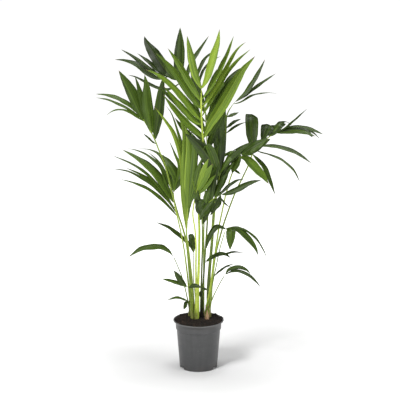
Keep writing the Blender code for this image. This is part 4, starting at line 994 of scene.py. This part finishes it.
        (0.9, 50, 4, ((-8.2, 59.3), (-10.5, 62.8), (-14, 67.8), (-19, 73), (-24, 76.2), (-30.8, 79.1))),
        (0.9, 50, 1, ((-8.0, 58.2), (-11, 62.8), (-15.5, 67.6), (-20, 70.8), (-25, 73.3), (-31, 74.3))),
        (1.0, 50, -2, ((-7.6, 56.8), (-10, 59.9), (-13.5, 63.6), (-18, 67), (-23, 69.1), (-28, 70.4))),
        (2.0, 30, 6, ((-8.6, 61.5), (-10.8, 65.3), (-13.5, 70), (-17, 74.3), (-21.5, 78), (-27.3, 81.3))),
        (1.0, 40, 9, (
            (-8.8, 63.5), (-11.2, 68.5), (-13.3, 74.7), (-17.5, 78.8), (-21.5, 80.8), (-25.5, 81.7))),
        (1.1, 40, 11, ((-8.8, 65.5), (-10.5, 73), (-13.5, 79), (-17, 81.2), (-21.9, 81.5))),
        (3.2, 25, 8, ((-8.8, 66.5), (-7.3, 70), (-9.0, 74.5), (-11.5, 77.6), (-14.8, 80.3))),
        (1.2, 40, 9, ((-8.8, 67), (-6.9, 71.5), (-6.7, 75.5), (-8.3, 79.7), (-10.4, 84.3))),
        (0.8, 45, 7, ((-8.9, 64.5), (-11.5, 72), (-14, 76.7), (-18.4, 80.7))),
    )),
    ("frond_centre_tall", "leaf_bright", (3.7, 2.0), (
        (-1.7, 21.3, 1.15), (-2.0, 28, 0.9), (-2.5, 34, 0.4), (-3.1, 40, -0.6), (-3.8, 46, -2.2),
        (-4.3, 50, -3.4), (-4.1, 55, -3.8), (-3.9, 61, -4.2)), (
        (1.7, 30, -2, ((-4.3, 51), (-5.3, 66), (-5.5, 76), (-8.3, 86), (-11.5, 91.3), (-15.9, 97))),
        (1.1, 40, 0, ((-4.3, 52), (-4.9, 68), (-5.3, 80), (-7.4, 88), (-9.6, 94.3), (-11.8, 97.2))),
        (2.2, 20, -3, ((-4.2, 53.6), (-4.8, 70), (-4.7, 82), (-5.3, 89), (-7.8, 95))),
        (2.6, 5, -4, ((-4.1, 55), (-3.7, 68), (-3.3, 79), (-3.6, 85), (-5.0, 91))),
        (2.4, -5, -4, ((-4.0, 57), (-2.6, 68), (-1.6, 77), (-1.7, 83), (-2.6, 88))),
        (2.2, -15, -4, ((-3.9, 60), (-1.6, 67.5), (-0.3, 73), (0.6, 76), (1.5, 78.6))),
    )),
    ("frond_centre_dark", "leaf_dark", (3.3, 1.6), (
        (0.9, 21.3, 3.7), (1.0, 30, 2.2), (1.2, 38, 0.0), (1.4, 46, -3.0), (1.4, 52, -6.2),
        (1.3, 56, -8.0), (2.2, 59.5, -9.2), (4.0, 62, -10.0), (6.5, 63.8, -10.5), (9.0, 65, -11.0)), (
        (1.8, -35, -1, ((8.3, 64.7), (12, 66), (15, 67.5), (18.5, 69.2), (22.6, 70.1))),
        (1.0, -45, 2, ((6.5, 63.8), (9.0, 66.5), (11.5, 68.7), (14, 70.1), (16.4, 70.4))),
        (0.6, -50, -4, ((7.5, 64.3), (9.0, 62.3), (10.2, 60.9), (11.4, 60))),
        (1.2, -20, -2, ((5.0, 62.7), (7.3, 62.6), (7.3, 61), (6.2, 59.1))),
        (2.4, 15, -2, ((1.5, 57), (0.6, 59), (0.0, 61), (-1.3, 62.8))),
        (2.8, 0, 0, ((1.7, 58), (1.4, 60, -1.0), (1.6, 62, -1.0), (1.9, 63, 0.4), (2.2, 62.4, 1.8))),
        (1.5, -20, 1, ((3.6, 61.6), (4.0, 64), (4.3, 67), (5.2, 69.3))),
        (1.8, -25, 2, ((6.0, 63.5), (7.0, 67), (8.5, 70.5), (10.5, 72.8))),
        (1.6, -15, 0.5, ((4.6, 62.5), (5.0, 67), (6.0, 72), (7.4, 76.5))),
    )),
    ("frond_centre_small", "leaf_bright", (2.9, 1.6), (
        (-1.0, 21.3, -0.3), (-0.9, 30, -0.6), (-0.95, 38, -1.1), (-0.9, 46, -2.0), (-1.3, 52, -3.4),
        (-2.0, 57, -5.2), (-1.7, 61, -6.8), (-0.8, 65.3, -8.5), (-0.3, 67.3, -9.0)), (
        (1.7, -23, -6, ((-0.6, 66), (0.3, 69), (1.9, 74), (3.6, 77.9))),
        (2.2, -20, -7, ((-0.7, 65.5), (1.3, 69.5), (3.3, 73), (5.1, 76))),
        (1.6, -28, -6.2, ((-0.9, 64.8), (1.2, 66.5), (3.8, 69.5), (6.2, 72))),
        (0.6, 50, -3, ((-0.8, 65.4), (-1.4, 68), (-2.2, 71.8))),
    )),
    ("leaf_left_arch", "leaf_dark", (1.7, 1.1), (
        (-3.4, 21.3, 3.55), (-3.9, 25, 3.3), (-4.6, 28.5, 2.8), (-5.3, 31.4, 2.0), (-6.1, 34.3, 1.0),
        (-7.1, 37, -0.2), (-8.1, 39.5, -1.4), (-9.3, 42.3, -2.8)), (
        (1.3, 55, -4, ((-9.3, 42.3), (-11, 44.2), (-13.5, 45.6), (-17, 45.6), (-21, 44.7), (-25.4, 41.5))),
        (1.0, 50, 5, ((-9.1, 41.9), (-11, 44.5), (-13.2, 46), (-15.5, 46.3), (-18.2, 45.8))),
    )),
    ("leaf_left_mid", "leaf_dark", (1.6, 1.1), (
        (-0.65, 21.3, 0.42), (-1.3, 28, 1.1), (-1.85, 34, 1.7), (-1.75, 40, 2.1), (-1.8, 44, 2.5),
        (-2.4, 46.2, 2.8), (-3.4, 47.6, 3.1)), (
        (1.2, 40, 2, ((-1.75, 43.6), (-3.4, 46.6), (-5.8, 49.0), (-8.4, 51.1), (-11, 52.9), (-15.5, 54.6))),
        (2.0, 0, 0, (
            (-1.75, 43.2), (-2.1, 46, 0.2), (-2.5, 48.6, 0.6), (-2.9, 50.2, 2.2), (-3.2, 49.4, 4.5))),
    )),
    ("leaf_left_low", "leaf_dark", (1.9, 1.2), (
        (-2.15, 21.3, 0.4), (-2.35, 24.5, -0.8), (-2.8, 27.5, -2.2), (-3.5, 29.8, -3.6),
        (-4.6, 30.5, -4.6)), (
        (1.9, 20, -3, ((-4.2, 30.3), (-5.6, 31.8), (-7.2, 34), (-9.0, 36.5))),
        (1.1, 40, -2, ((-4.5, 30.4), (-7.0, 31.7), (-10, 32.7), (-13.6, 33.4))),
        (1.3, -10, -2, ((-3.6, 29.9), (-2.0, 30.7), (-0.5, 30.6), (1.2, 29.9))),
    )),
    ("leaf_left_bottom", "leaf_dark", (1.6, 1.1), (
        (-3.0, 21.3, 2.75), (-3.25, 23.3, 2.2), (-3.5, 24.9, 1.6)), (
        (0.6, 60, -4, ((-3.5, 24.6), (-5.0, 25.6), (-7.8, 26.4), (-11.4, 25.3))),
        (1.1, 20, -3, ((-3.5, 24.8), (-4.5, 24.3), (-4.8, 23.2), (-5.4, 21.6))),
    )),
    ("leaf_right_arch", "leaf_dark", (1.8, 1.2), (
        (2.65, 21.3, -0.25), (3.5, 24, -0.9), (4.4, 27.3, -1.6), (5.4, 33, -3.0), (6.4, 38, -4.5),
        (7.5, 43.6, -6.0), (8.4, 47.2, -7.0), (9.5, 50.9, -8.0), (10.2, 52.6, -8.6)), (
        (1.4, 40, -3, ((9.9, 52), (8.2, 52.9), (6.6, 53), (5.0, 51.4), (3.6, 48.5), (2.7, 44.4))),
        (0.85, -75, 0, ((10.1, 52.4), (11.3, 52.4, -2), (11.6, 51, -4), (11.5, 48, -5), (11.4, 44.1, -5.5))),
        (0.7, -60, -2, ((10.2, 52.6), (13, 52.8), (17, 51.8), (21, 48.5), (23.7, 43.9), (24.8, 40.6))),
        (1.8, -25, -5, ((10, 52.3), (14, 52.2), (16.9, 49.8), (19.3, 47), (20.9, 44.3), (21.5, 42))),
    )),
    ("leaf_right_mid", "leaf_dark", (1.8, 1.2), (
        (1.25, 21.3, 2.85), (1.25, 26, 1.0), (1.5, 31, -1.3), (1.9, 35, -3.1), (2.1, 38, -4.5),
        (2.7, 40.2, -5.6)), (
        (1.2, -35, -3, ((2.6, 40), (4.6, 41.5), (7.5, 42.8), (9.8, 42.6), (11.7, 41.1))),
        (0.6, -60, -6, ((2.4, 39.5), (6.0, 42.2), (9.5, 42.8), (12.5, 43.5), (16.6, 43.2))),
        (0.8, -20, -1, ((1.45, 30), (2.4, 29.5), (3.2, 29.1))),
        (1.1, 10, -1, ((1.4, 29), (0.9, 28), (0.6, 26.3))),
    )),
    ("leaf_right_spike", "leaf_dark", (1.6, 1.1), (
        (4.3, 21.3, 2.5), (4.8, 26, 3.2), (5.1, 31, 4.0), (5.7, 34.7, 4.6)), (
        (0.7, -50, 5, ((5.6, 34.3), (7.5, 36.3), (10, 38.1), (13.3, 39.2))),
        (0.6, -60, 9, ((5.7, 34.6), (8.0, 37), (11, 38.1), (13.2, 37.5))),
    )),
    ("leaf_right_low", "leaf_dark", (1.6, 1.1), (
        (3.55, 21.3, -0.3), (4.4, 24, -1.2), (5.0, 25.6, -1.8), (6.0, 28, -2.7), (7.3, 30.7, -3.8),
        (8.5, 33, -4.9), (9.8, 35.2, -6.0)), (
        (1.1, -35, -3, ((9.8, 35.2), (11, 36.9), (14.5, 37.8), (17.3, 36.8), (18.9, 35.1))),
        (0.8, -45, -7, ((9.6, 34.9), (12, 36.2), (15, 36.3), (18.5, 34.6), (21, 32.2), (22.7, 29.9))),
    )),
)

# Tone of the leaflets (0 deep, 1 lime) and tone of the stalk; the tones are partly the fronds' own green and
# partly painted shade, deeper for fronds at the back and under the others and lighter for those in front.
TONES = {
    "frond_crown": (0.66, 0.80), "frond_crown_rear": (0.42, 0.48), "frond_back": (0.29, 0.40),
    "frond_left": (0.44, 0.58), "frond_right_high": (0.40, 0.44), "frond_right_arching": (0.31, 0.60),
    "frond_right_low": (0.45, 0.72), "frond_cross": (0.38, 0.46), "frond_left_narrow": (0.46, 0.58),
    "frond_centre_tall": (0.66, 0.62), "frond_centre_dark": (0.36, 0.42), "frond_centre_small": (0.74, 0.86),
    "leaf_left_arch": (0.35, 0.46), "leaf_left_mid": (0.28, 0.52), "leaf_left_low": (0.35, 0.46),
    "leaf_left_bottom": (0.38, 0.46), "leaf_right_arch": (0.36, 0.46), "leaf_right_mid": (0.28, 0.14),
    "leaf_right_spike": (0.30, 0.50), "leaf_right_low": (0.36, 0.46),
}
# Leaflets too many or too fine for the technical model, in the same terms as above.
FILLING = {
    "frond_centre_dark": (
        (2.6, 20, -3, ((5.6, 62.9), (4.2, 61.2), (2.6, 59.2), (1.2, 57), (0.6, 55.2))),
        (1.6, -15, -2, ((8.4, 64.6), (7.2, 62), (5.6, 59.2), (4.2, 56.9))),
        (2.2, 20, -1, ((2.0, 59), (0.4, 61.5), (-0.8, 63.8), (-1.6, 65.6))),
        (1.8, -10, 0, ((2.3, 59.8), (2.6, 62.5), (3.2, 65), (4.4, 67.8))),
        (1.8, 15, -1, ((1.6, 57.8), (0.6, 60.5), (-0.2, 63.5), (-0.4, 66.5))),
        (2.6, -10, 2, ((3.0, 60.8), (4.2, 65), (5.0, 70), (5.8, 75.5))),
        (1.6, -25, -1, ((1.3, 55.5), (2.8, 57.8), (4.6, 59.6), (6.4, 60.6))),
    ),
    "frond_cross": (
        (1.6, -30, -1, ((7.0, 69), (8.6, 73.5), (11.0, 77.6), (14.5, 80.8), (19.5, 84.2))),
        (2.0, 0, 1, ((7.2, 70), (6.2, 74.5), (6.6, 79), (8.0, 84.5))),
        (2.4, 10, 3, ((7.3, 70.5), (7.6, 76), (8.6, 82), (9.4, 88))),
        (1.8, -20, 2, ((6.4, 65.5), (8.0, 68.5), (9.6, 72), (11.0, 75.6))),
        (1.8, 15, 2, ((6.0, 63.5), (5.4, 67.5), (4.4, 71.5), (3.0, 75.5))),
    ),
    "frond_right_low": (
        (3.0, -25, -1, ((15.4, 79.4), (18, 81.0), (21.5, 83.2), (25.6, 85.0))),
        (2.4, 25, -1, ((15.2, 79.2), (13.6, 79.6), (12.2, 78.9), (10.8, 77.6), (9.4, 75.6))),
        (2.4, 10, -2, ((14.6, 78.4), (13.6, 76.8), (12.8, 75.0), (12.0, 72.6))),
        (1.3, 35, 1, ((15, 79), (12.6, 80.2), (10, 79.6), (8.2, 77.9))),
    ),
    "frond_right_arching": (
        (3.0, -25, 0, ((24.2, 85.2), (25.0, 87, 0), (25.8, 89, 1), (26.3, 90.1, 4), (26.6, 88.8, 8))),
        (2.4, -30, 0, ((26, 86.4), (27.2, 88.4, 0), (28.6, 90.2, 1), (29.8, 90.8, 3), (31.2, 90.4, 6))),
        (2.0, -45, -6, ((27.5, 87.3), (31, 88.4), (35, 88.6), (38.5, 87.7), (40.6, 85.6))),
    ),
    "frond_crown_rear": (
        (2.4, -15, 1, ((3.0, 83), (5.4, 88), (8.0, 93), (10.0, 99.5))),
        (2.0, 20, 0, ((2.9, 86), (1.2, 90), (-0.6, 95), (-1.8, 100.5))),
        (1.8, -20, 1, ((2.7, 90), (4.4, 95), (5.6, 100.5), (6.2, 106))),
    ),
    "frond_back": (
        (2.6, 20, 5, ((-8.0, 106.2), (-10.5, 109), (-12.5, 112.5), (-14, 116.5))),
        (1.4, 40, 5, ((-10.2, 107.0), (-14, 109.8), (-18, 113.2), (-21.5, 115.6))),
    ),
    "frond_left_narrow": (
        (1.1, 50, 3, ((-8.1, 58.8), (-10.8, 63.2), (-15, 68.2), (-20, 71.9), (-26, 74.6))),
        (1.2, 45, 8, ((-8.7, 62.5), (-11, 67.5), (-14, 72.5), (-18, 76.5), (-23, 79.3))),
        (1.4, 30, 9, ((-8.8, 66), (-8.6, 71), (-10, 75.5), (-12.8, 79.6))),
    ),
    "frond_centre_tall": (
        (1.4, 15, -1, ((-4.0, 59), (-3.2, 70), (-2.6, 80), (-3.4, 90))),
        (1.3, -20, -1, ((-3.95, 60), (-2.0, 70), (-0.6, 79.5), (-0.2, 85.5))),
    ),
}
print(len(FRONDS), "fronds,", sum(len(frond[4]) for frond in FRONDS), "leaflets")

# %% [markdown]
# ## Paths in space
# A few chosen points are not smooth enough to bend a leaf along, so a rounded
# path is run through them and cut into even steps.  At each step the leaf needs
# three directions: along the path, across the blade and out of its face.  They
# are carried from step to step without twist, so a blade that arches over shows
# its underside as a real one does.

# %% Paths
EYE = Vector((0.0, -5.17, 1.84))
REACH_POWER = 1.3
FOOT_STEP = 0.035
MIN_COSINE = 0.3
BLADE_FULLNESS = 1.22
PATH_FINENESS = 16
print("eye at", tuple(round(v, 2) for v in EYE))


def sight(across, height, depth):
    """A drawn point moved along its line of sight to its depth; centimetres in, metres out."""
    drawn = Vector((across * CM, 0.0, height * CM))
    return EYE + (drawn - EYE) * ((depth * CM - EYE.y) / -EYE.y)


def smooth_path(points, count):
    """Points spread evenly along a rounded path through the given ones."""
    padded = [2 * points[0] - points[1], *points, 2 * points[-1] - points[-2]]
    fine = []
    for p0, p1, p2, p3 in zip(padded, padded[1:], padded[2:], padded[3:]):
        for step in range(PATH_FINENESS):
            t = step / PATH_FINENESS
            fine.append(0.5 * (2 * p1 + (p2 - p0) * t + (2 * p0 - 5 * p1 + 4 * p2 - p3) * t * t
                               + (3 * p1 - p0 - 3 * p2 + p3) * t ** 3))
    fine.append(points[-1])
    lengths = [0.0]
    for before, after in zip(fine, fine[1:]):
        lengths.append(lengths[-1] + (after - before).length)
    even, index = [], 0
    for step in range(count + 1):
        wanted = lengths[-1] * step / count
        while index < len(fine) - 2 and lengths[index + 1] < wanted:
            index += 1
        part = (wanted - lengths[index]) / (lengths[index + 1] - lengths[index])
        even.append(fine[index].lerp(fine[index + 1], part))
    return even, lengths[-1]


def carried_frames(spine):
    """(along, across, out) at each step, carried without twist from a start that faces the eye."""
    frames, across = [], None
    for ring, here in enumerate(spine):
        along = (spine[min(ring + 1, len(spine) - 1)] - spine[max(ring - 1, 0)]).normalized()
        if across is None:
            across = along.cross(EYE - here)
        across = (across - along * across.dot(along)).normalized()
        frames.append((along, across, across.cross(along)))
    return frames


def between(stops, share):
    """A value read from (share, value) stops with smooth joins."""
    for (start, low), (end, high) in zip(stops, stops[1:]):
        if share <= end:
            part = (share - start) / (end - start)
            return low + (high - low) * part * part * (3 - 2 * part) * 0.5 + (high - low) * part * 0.5
    return stops[-1][1]


# %% [markdown]
# ## Leaflets and stalks as sweeps
# A leaflet and a stalk are both a flattened ring swept along a path.  The path's
# points carry how wide, how thick and how creased the ring is there, so one
# geometry tree makes every one of them.  Modelling each leaflet by hand would
# give the same shape a hundred times over with far more work.

# %% The sweep tree
TINY = 0.0001
RAIL_VECTORS = ("place", "across", "out")
SHAPE_NUMBERS = ("half_width", "thick", "crease", "groove", "wave", "is_stalk")
RAIL_NUMBERS = (*SHAPE_NUMBERS, "share", "key", "tone")


def sweep_tree():
    """Edges with rail numbers become closed creased strips and grooved stalks."""
    sheet, given = new_tree("leaf_sweep", (("Sides", "Int"), ("Leaf finish", "Material"),
                                           ("Stalk finish", "Material")))
    rail = sheet.node("GeometryNodeMeshToCurve", {}, {0: given["Geometry"]})
    ring = sheet.node("GeometryNodeCurvePrimitiveCircle", {}, {"Resolution": given["Sides"], "Radius": 1.0})
    corner = sheet.node("GeometryNodeInputPosition")
    for label, output in (("across_share", 0), ("side", 1)):
        value = sheet.node("ShaderNodeSeparateXYZ", {}, {0: corner}, output=output)
        ring = sheet.node("GeometryNodeStoreNamedAttribute", {"data_type": "FLOAT", "domain": "POINT"},
                          {0: ring, "Name": label, "Value": value})
    small = sheet.node("GeometryNodeTransform", {}, {0: ring, "Scale": (TINY, TINY, TINY)})
    swept = sheet.node("GeometryNodeCurveToMesh", {}, {0: rail, 1: small})
    place, across, out = (named(sheet, name, "FLOAT_VECTOR") for name in RAIL_VECTORS)
    half_width, thick, crease, groove, wave, is_stalk = (named(sheet, name) for name in SHAPE_NUMBERS)
    share = named(sheet, "share")
    over, side = named(sheet, "across_share"), named(sheet, "side")
    bend = (over * over + 0.006) ** 0.5
    ripple = (share * 21.0 + over * 2.0 + named(sheet, "key") * 40.0).maths("SINE") * over * over * wave
    channel = side.maths("MAXIMUM", 0.0) * (1 - over * over) * groove
    lift = side * thick - bend * crease * half_width + ripple * half_width - channel * thick
    moved = sheet.plus(sheet.plus(place, sheet.along(across, over * half_width)), sheet.along(out, lift))
    shaped = sheet.node("GeometryNodeSetPosition", {}, {0: swept, "Position": moved})
    real = sheet.node("GeometryNodeRealizeInstances", {}, {0: shaped})
    leafy = sheet.node("GeometryNodeSetMaterial", {}, {"Geometry": real, "Material": given["Leaf finish"]})
    chosen = is_stalk.maths("GREATER_THAN", 0.5)
    sockets = {"Geometry": leafy, "Selection": chosen, "Material": given["Stalk finish"]}
    end_tree(sheet, sheet.node("GeometryNodeSetMaterial", {}, sockets))
    return sheet.tree


SWEEP = sweep_tree()
SWEEP_SIDES = 20


class Rails:
    """Edges that gather the paths of one frond, with the numbers that each point carries."""

    def __init__(self):
        self.edges = []
        self.rows = []

    def add(self, spine, rows):
        """A path and, for each of its points, a dictionary of the rail values."""
        for index, (point, row) in enumerate(zip(spine, rows)):
            if index:
                self.edges.append((len(self.rows) - 1, len(self.rows)))
            self.rows.append({"place": point, **row})

    def mesh(self, name):
        """The edges as a mesh with its values stored on the points."""
        made = bpy.data.meshes.new(name)
        made.from_pydata([row["place"] for row in self.rows], self.edges, [])
        for word in RAIL_VECTORS:
            layer = made.attributes.new(word, "FLOAT_VECTOR", "POINT")
            layer.data.foreach_set("vector", [part for row in self.rows for part in row[word]])
        for word in RAIL_NUMBERS:
            layer = made.attributes.new(word, "FLOAT", "POINT")
            layer.data.foreach_set("value", [row[word] for row in self.rows])
        return made


# %% [markdown]
# ## One leaflet
# A leaflet is pinched where it leaves the rib, widest before its middle and
# drawn out to a long point.  It is folded along its midrib like a roof, less so
# towards the tip, and its edges wave a little.

# %% Leaflet and stalk rails
OUTLINE = ((0.0, 0.0), (0.012, 0.20), (0.05, 0.36), (0.14, 0.66), (0.27, 0.92), (0.42, 1.0), (0.58, 0.93),
           (0.72, 0.74), (0.84, 0.47), (0.93, 0.23), (0.98, 0.08), (1.0, 0.0))
LEAFLET_RINGS = 34
STALK_RINGS = 90
LEAF_HALF_THICKNESS = 0.00035
LEAF_CREASE = 0.40
STALK_GROOVE = 0.42
STALK_SWELL = 0.12
SWELL_LENGTH = 0.075
STALK_EXTRA = 0.0001
print("leaflets of", LEAFLET_RINGS, "steps, stalks of", STALK_RINGS)


def leaflet_rail(rails, midrib, seen_width, turn, tone, dice):
    """Adds one leaflet's path; its width is the seen width undone for its turn."""
    spine = smooth_path(midrib, LEAFLET_RINGS)[0]
    width = BLADE_FULLNESS * seen_width * CM / max(math.cos(math.radians(turn)), MIN_COSINE)
    key, twist = dice.random(), dice.uniform(-14, 14)
    rows = []
    for ring, (along, across, out) in enumerate(carried_frames(spine)):
        share = ring / LEAFLET_RINGS
        tilt = Matrix.Rotation(math.radians(turn + twist * (share - 0.35)), 3, along)
        outline = between(OUTLINE, share)
        rows.append({"across": tilt @ across, "out": tilt @ out, "half_width": 0.5 * width * outline,
                     "thick": LEAF_HALF_THICKNESS * min(1.0, 8 * outline) * (1.5 - share),
                     "crease": LEAF_CREASE * (1 - 0.55 * share), "groove": 0.0,
                     "wave": 0.05 + 0.05 * dice.random(),
                     "share": share, "key": key, "tone": tone, "is_stalk": 0.0})
    rails.add(spine, rows)


def stalk_rail(rails, points, radii, fullness, tone, dice):
    """Adds the stalk and rib: thick and clasping at the foot, thin and grooved at the end."""
    spine, length = smooth_path(points, STALK_RINGS)
    key = dice.random()
    rows = []
    for ring, (along, across, out) in enumerate(carried_frames(spine)):
        share = ring / STALK_RINGS
        swell = STALK_SWELL * math.exp(-share * length / SWELL_LENGTH)
        radius = (radii[0] + (radii[1] - radii[0]) * share ** 0.9) * MM * (fullness + swell) + STALK_EXTRA
        end = min(1.0, (1 - share) * 14, ring * 0.75)
        rows.append({"across": across, "out": out, "half_width": radius * end, "thick": radius * 0.86 * end,
                     "crease": 0.0, "groove": STALK_GROOVE, "wave": 0.0, "share": share, "key": key,
                     "tone": tone, "is_stalk": 1.0})
    rails.add(spine, rows)


def nearest_on_stalk(points, drawn, across, height, index_of_leaflet):
    """The stalk's middle nearest to a drawn point and its depth there; feet are stepped back in turn."""
    best = None
    limit = 0.96 - FOOT_STEP * index_of_leaflet
    for (x0, z0, y0), (x1, z1, y1), start, end in zip(drawn, drawn[1:], points, points[1:]):
        run = (x1 - x0) ** 2 + (z1 - z0) ** 2
        share = min(max(((across - x0) * (x1 - x0) + (height - z0) * (z1 - z0)) / run, 1.0 - limit), limit)
        away = math.hypot(x0 + (x1 - x0) * share - across, z0 + (z1 - z0) * share - height)
        if best is None or away < best[0]:
            best = (away, start.lerp(end, share), y0 + (y1 - y0) * share)
    return best[1], best[2]


def leaflet_midrib(points, drawn, midrib, reach, index_of_leaflet):
    """A leaflet's midrib in space, starting in the middle of the stalk."""
    foot, foot_depth = nearest_on_stalk(points, drawn, midrib[0][0], midrib[0][1], index_of_leaflet)
    spread = [0.0]
    for before, after in zip(midrib, midrib[1:]):
        spread.append(spread[-1] + math.hypot(after[0] - before[0], after[1] - before[1]))
    path = [foot]
    for point, far in zip(midrib[1:], spread[1:]):
        offset = point[2] if len(point) == 3 else reach * (far / spread[-1]) ** REACH_POWER
        path.append(sight(point[0], point[1], foot_depth + offset))
    return path


# %% Grow the fronds
STALK_ROOT = 0.170
STALK_START = STEM_TOP - 0.004
ROOT_PULL = 0.45
USUAL_FULLNESS = 1.1
TONE_SPREAD = 0.11
# Stalks that have filled out more than the rest.
FULLER = {"frond_crown": 1.3, "frond_right_low": 1.3, "frond_centre_small": 1.3, "frond_right_high": 1.2,
          "frond_right_arching": 1.3, "frond_cross": 1.2, "leaf_left_arch": 1.35, "leaf_right_low": 1.35,
          "leaf_right_arch": 1.3, "leaf_left_mid": 1.2}
# Leaflets set lighter or deeper than the rest of their frond, mostly as painted light and shade: lighter
# where a leaflet faces the lamps, deeper under others, and the two extra leaflets of frond_centre_tall made
# deep to paint the shade in its gaps.
LEAFLET_PAINTED_LIGHT_AND_SHADE = {
    ("frond_crown", 5): 0.10, ("frond_crown", 1): 0.08, ("frond_crown", 0): 0.04, ("frond_crown", 3): 0.05,
    ("frond_crown", 10): -0.18, ("frond_crown", 9): -0.15, ("frond_crown", 8): -0.10,
    ("frond_crown", 7): -0.08,
    ("frond_centre_dark", 9): 0.10, ("frond_cross", 7): 0.30, ("frond_cross", 6): -0.04,
    ("frond_centre_tall", 1): -0.14, ("frond_centre_tall", 3): 0.10, ("frond_centre_tall", 5): -0.10,
    ("frond_centre_tall", 6): -0.30, ("frond_centre_tall", 7): -0.30,
    ("frond_centre_small", 2): -0.24, ("frond_centre_small", 1): -0.04, ("frond_centre_small", 0): 0.04,
    ("frond_right_low", 0): 0.10, ("frond_right_low", 4): -0.08, ("frond_right_low", 5): -0.16,
}


def grow(name, finish, radii, drawn, leaflets, dice):
    """One frond as a single finished piece."""
    leaf_tone, stalk_tone = TONES[name]
    points = [sight(*point) for point in drawn]
    points[0] = Vector((drawn[0][0] * CM, drawn[0][2] * CM, STALK_START))
    rails = Rails()
    home = min(STEMS.values(), key=lambda stem: math.hypot(stem[0] - drawn[0][0], stem[1] - drawn[0][2]))
    root = points[0].lerp(Vector((home[0] * CM, home[1] * CM, points[0].z)), ROOT_PULL)
    root.z = STALK_ROOT
    stalk_rail(rails, [root, *points], radii, FULLER.get(name, USUAL_FULLNESS), stalk_tone, dice)
    for index, (seen_width, turn, reach, midrib) in enumerate((*leaflets, *FILLING.get(name, ()))):
        path = leaflet_midrib(points, drawn, midrib, reach, index)
        tone = leaf_tone + dice.uniform(-TONE_SPREAD, TONE_SPREAD) + LEAFLET_PAINTED_LIGHT_AND_SHADE.get((name, index), 0.0)
        leaflet_rail(rails, path, seen_width, turn, tone, dice)
    values = {"Sides": SWEEP_SIDES, "Leaf finish": LEAF[finish], "Stalk finish": STALK}
    mesh = run_tree(rails.mesh(name), SWEEP, values)
    for word in (*RAIL_VECTORS, *SHAPE_NUMBERS):
        mesh.attributes.remove(mesh.attributes[word])
    closed(mesh, 0.000004)
    stands_for(placed("grown_" + name, mesh), name)


GROWTH = random.Random(5)
for frond in FRONDS:
    grow(*frond, GROWTH)

# %% [markdown]
# ## Floor, light and camera
# The plant stands on a wide pale floor.  Close to the plant the lamps light it, so
# it keeps a soft shadow; further off the floor glows like a lit studio sweep, so it
# stays white from every side.  Big soft lamps stand high in front, at one side and
# overhead, with two tall strips that draw upright highlights on the pot.  The
# camera has a long lens, stands about head high and is tipped down a little.

# %% Stage
FLOOR_REACH = 40.0
FLOOR_HEIGHT = -0.0002
GLOW_START = 0.1
GLOW_FULL = 1.5


def pale_finish():
    """Nearly white paper with the faintest mottling, glowing away from the plant."""
    material, sheet, shader = new_finish("pale_paper", Roughness=0.9, Emission_Strength=1.0)
    place = sheet.node("ShaderNodeTexCoord", output=3)
    mottle = sheet.speckle(place, 3.0)
    away = sheet.node("ShaderNodeVectorMath", {"operation": "LENGTH"}, {0: place}, output=1)
    glow = sheet.blend(away.rise(GLOW_START, GLOW_FULL), (0.0, 0.0, 0.0), (0.95, 0.95, 0.95))
    connect(sheet, shader, Base_Color=sheet.blend(mottle, (0.90, 0.90, 0.90), (0.94, 0.94, 0.94)),
            Emission_Color=glow)
    return material


def pale_floor():
    """A flat square floor just under the pot's foot."""
    mesh = bpy.data.meshes.new("pale_floor")
    signs = ((-1, -1), (1, -1), (1, 1), (-1, 1))
    corners = [(x * FLOOR_REACH, y * FLOOR_REACH, FLOOR_HEIGHT) for x, y in signs]
    mesh.from_pydata(corners, [], [(0, 1, 2, 3)])
    mesh.materials.append(pale_finish())
    return placed("pale_floor", mesh)


pale_floor()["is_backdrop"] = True


def lamp(name, place, aim, size, watts, height=None):
    """A soft lamp that faces a point: square, or a tall strip when a height is given."""
    light = bpy.data.lights.new(name, "AREA")
    light.size = size
    if height:
        light.shape = "RECTANGLE"
        light.size_y = height
    light.energy = watts
    obj = placed(name, light)
    obj.location = place
    obj.rotation_euler = (Vector(aim) - Vector(place)).to_track_quat("-Z", "Y").to_euler()


MIDDLE = (0.0, 0.0, 0.75)
POT_AND_STEMS = (0.0, 0.0, 0.5)
STRIP_WIDTH = 0.22
STRIP_HEIGHT = 2.0
SKY_STRENGTH = 0.08
lamp("key_lamp", (-1.7, -2.2, 3.3), MIDDLE, 1.0, 105.0)
lamp("side_lamp", (2.8, -1.4, 1.9), MIDDLE, 1.2, 26.0)
lamp("top_lamp", (0.2, 0.4, 3.4), MIDDLE, 1.6, 60.0)
lamp("left_strip", (-1.5, -2.4, 0.9), POT_AND_STEMS, STRIP_WIDTH, 11.0, STRIP_HEIGHT)
lamp("right_strip", (1.9, -1.9, 0.9), POT_AND_STEMS, STRIP_WIDTH, 11.0, STRIP_HEIGHT)
sky = bpy.data.worlds.new("studio")
sky.use_nodes = True
even_light = sky.node_tree.nodes["Background"]
even_light.inputs["Color"].default_value = (1.0, 1.0, 1.0, 1.0)
even_light.inputs["Strength"].default_value = SKY_STRENGTH
bpy.context.scene.world = sky
bpy.context.scene.view_settings.view_transform = "Standard"
print("lamps:", len(bpy.data.lights))

# %% Camera
TILT_DOWN = 13.2
camera_data = bpy.data.cameras.new("camera")
camera_data.sensor_width = 36.0
camera_data.lens = 133.2
camera_data.shift_x = 0.00375
camera_data.clip_end = 60.0
camera = placed("camera", camera_data)
camera.location = EYE
camera.rotation_euler = (math.radians(90.0 - TILT_DOWN), 0.0, 0.0)
bpy.context.scene.camera = camera
print("camera lens:", camera_data.lens, "mm")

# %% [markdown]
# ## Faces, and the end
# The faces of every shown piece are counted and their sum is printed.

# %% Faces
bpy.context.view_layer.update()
total = sum(len(piece.data.polygons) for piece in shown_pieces())
print("faces in all:", total)
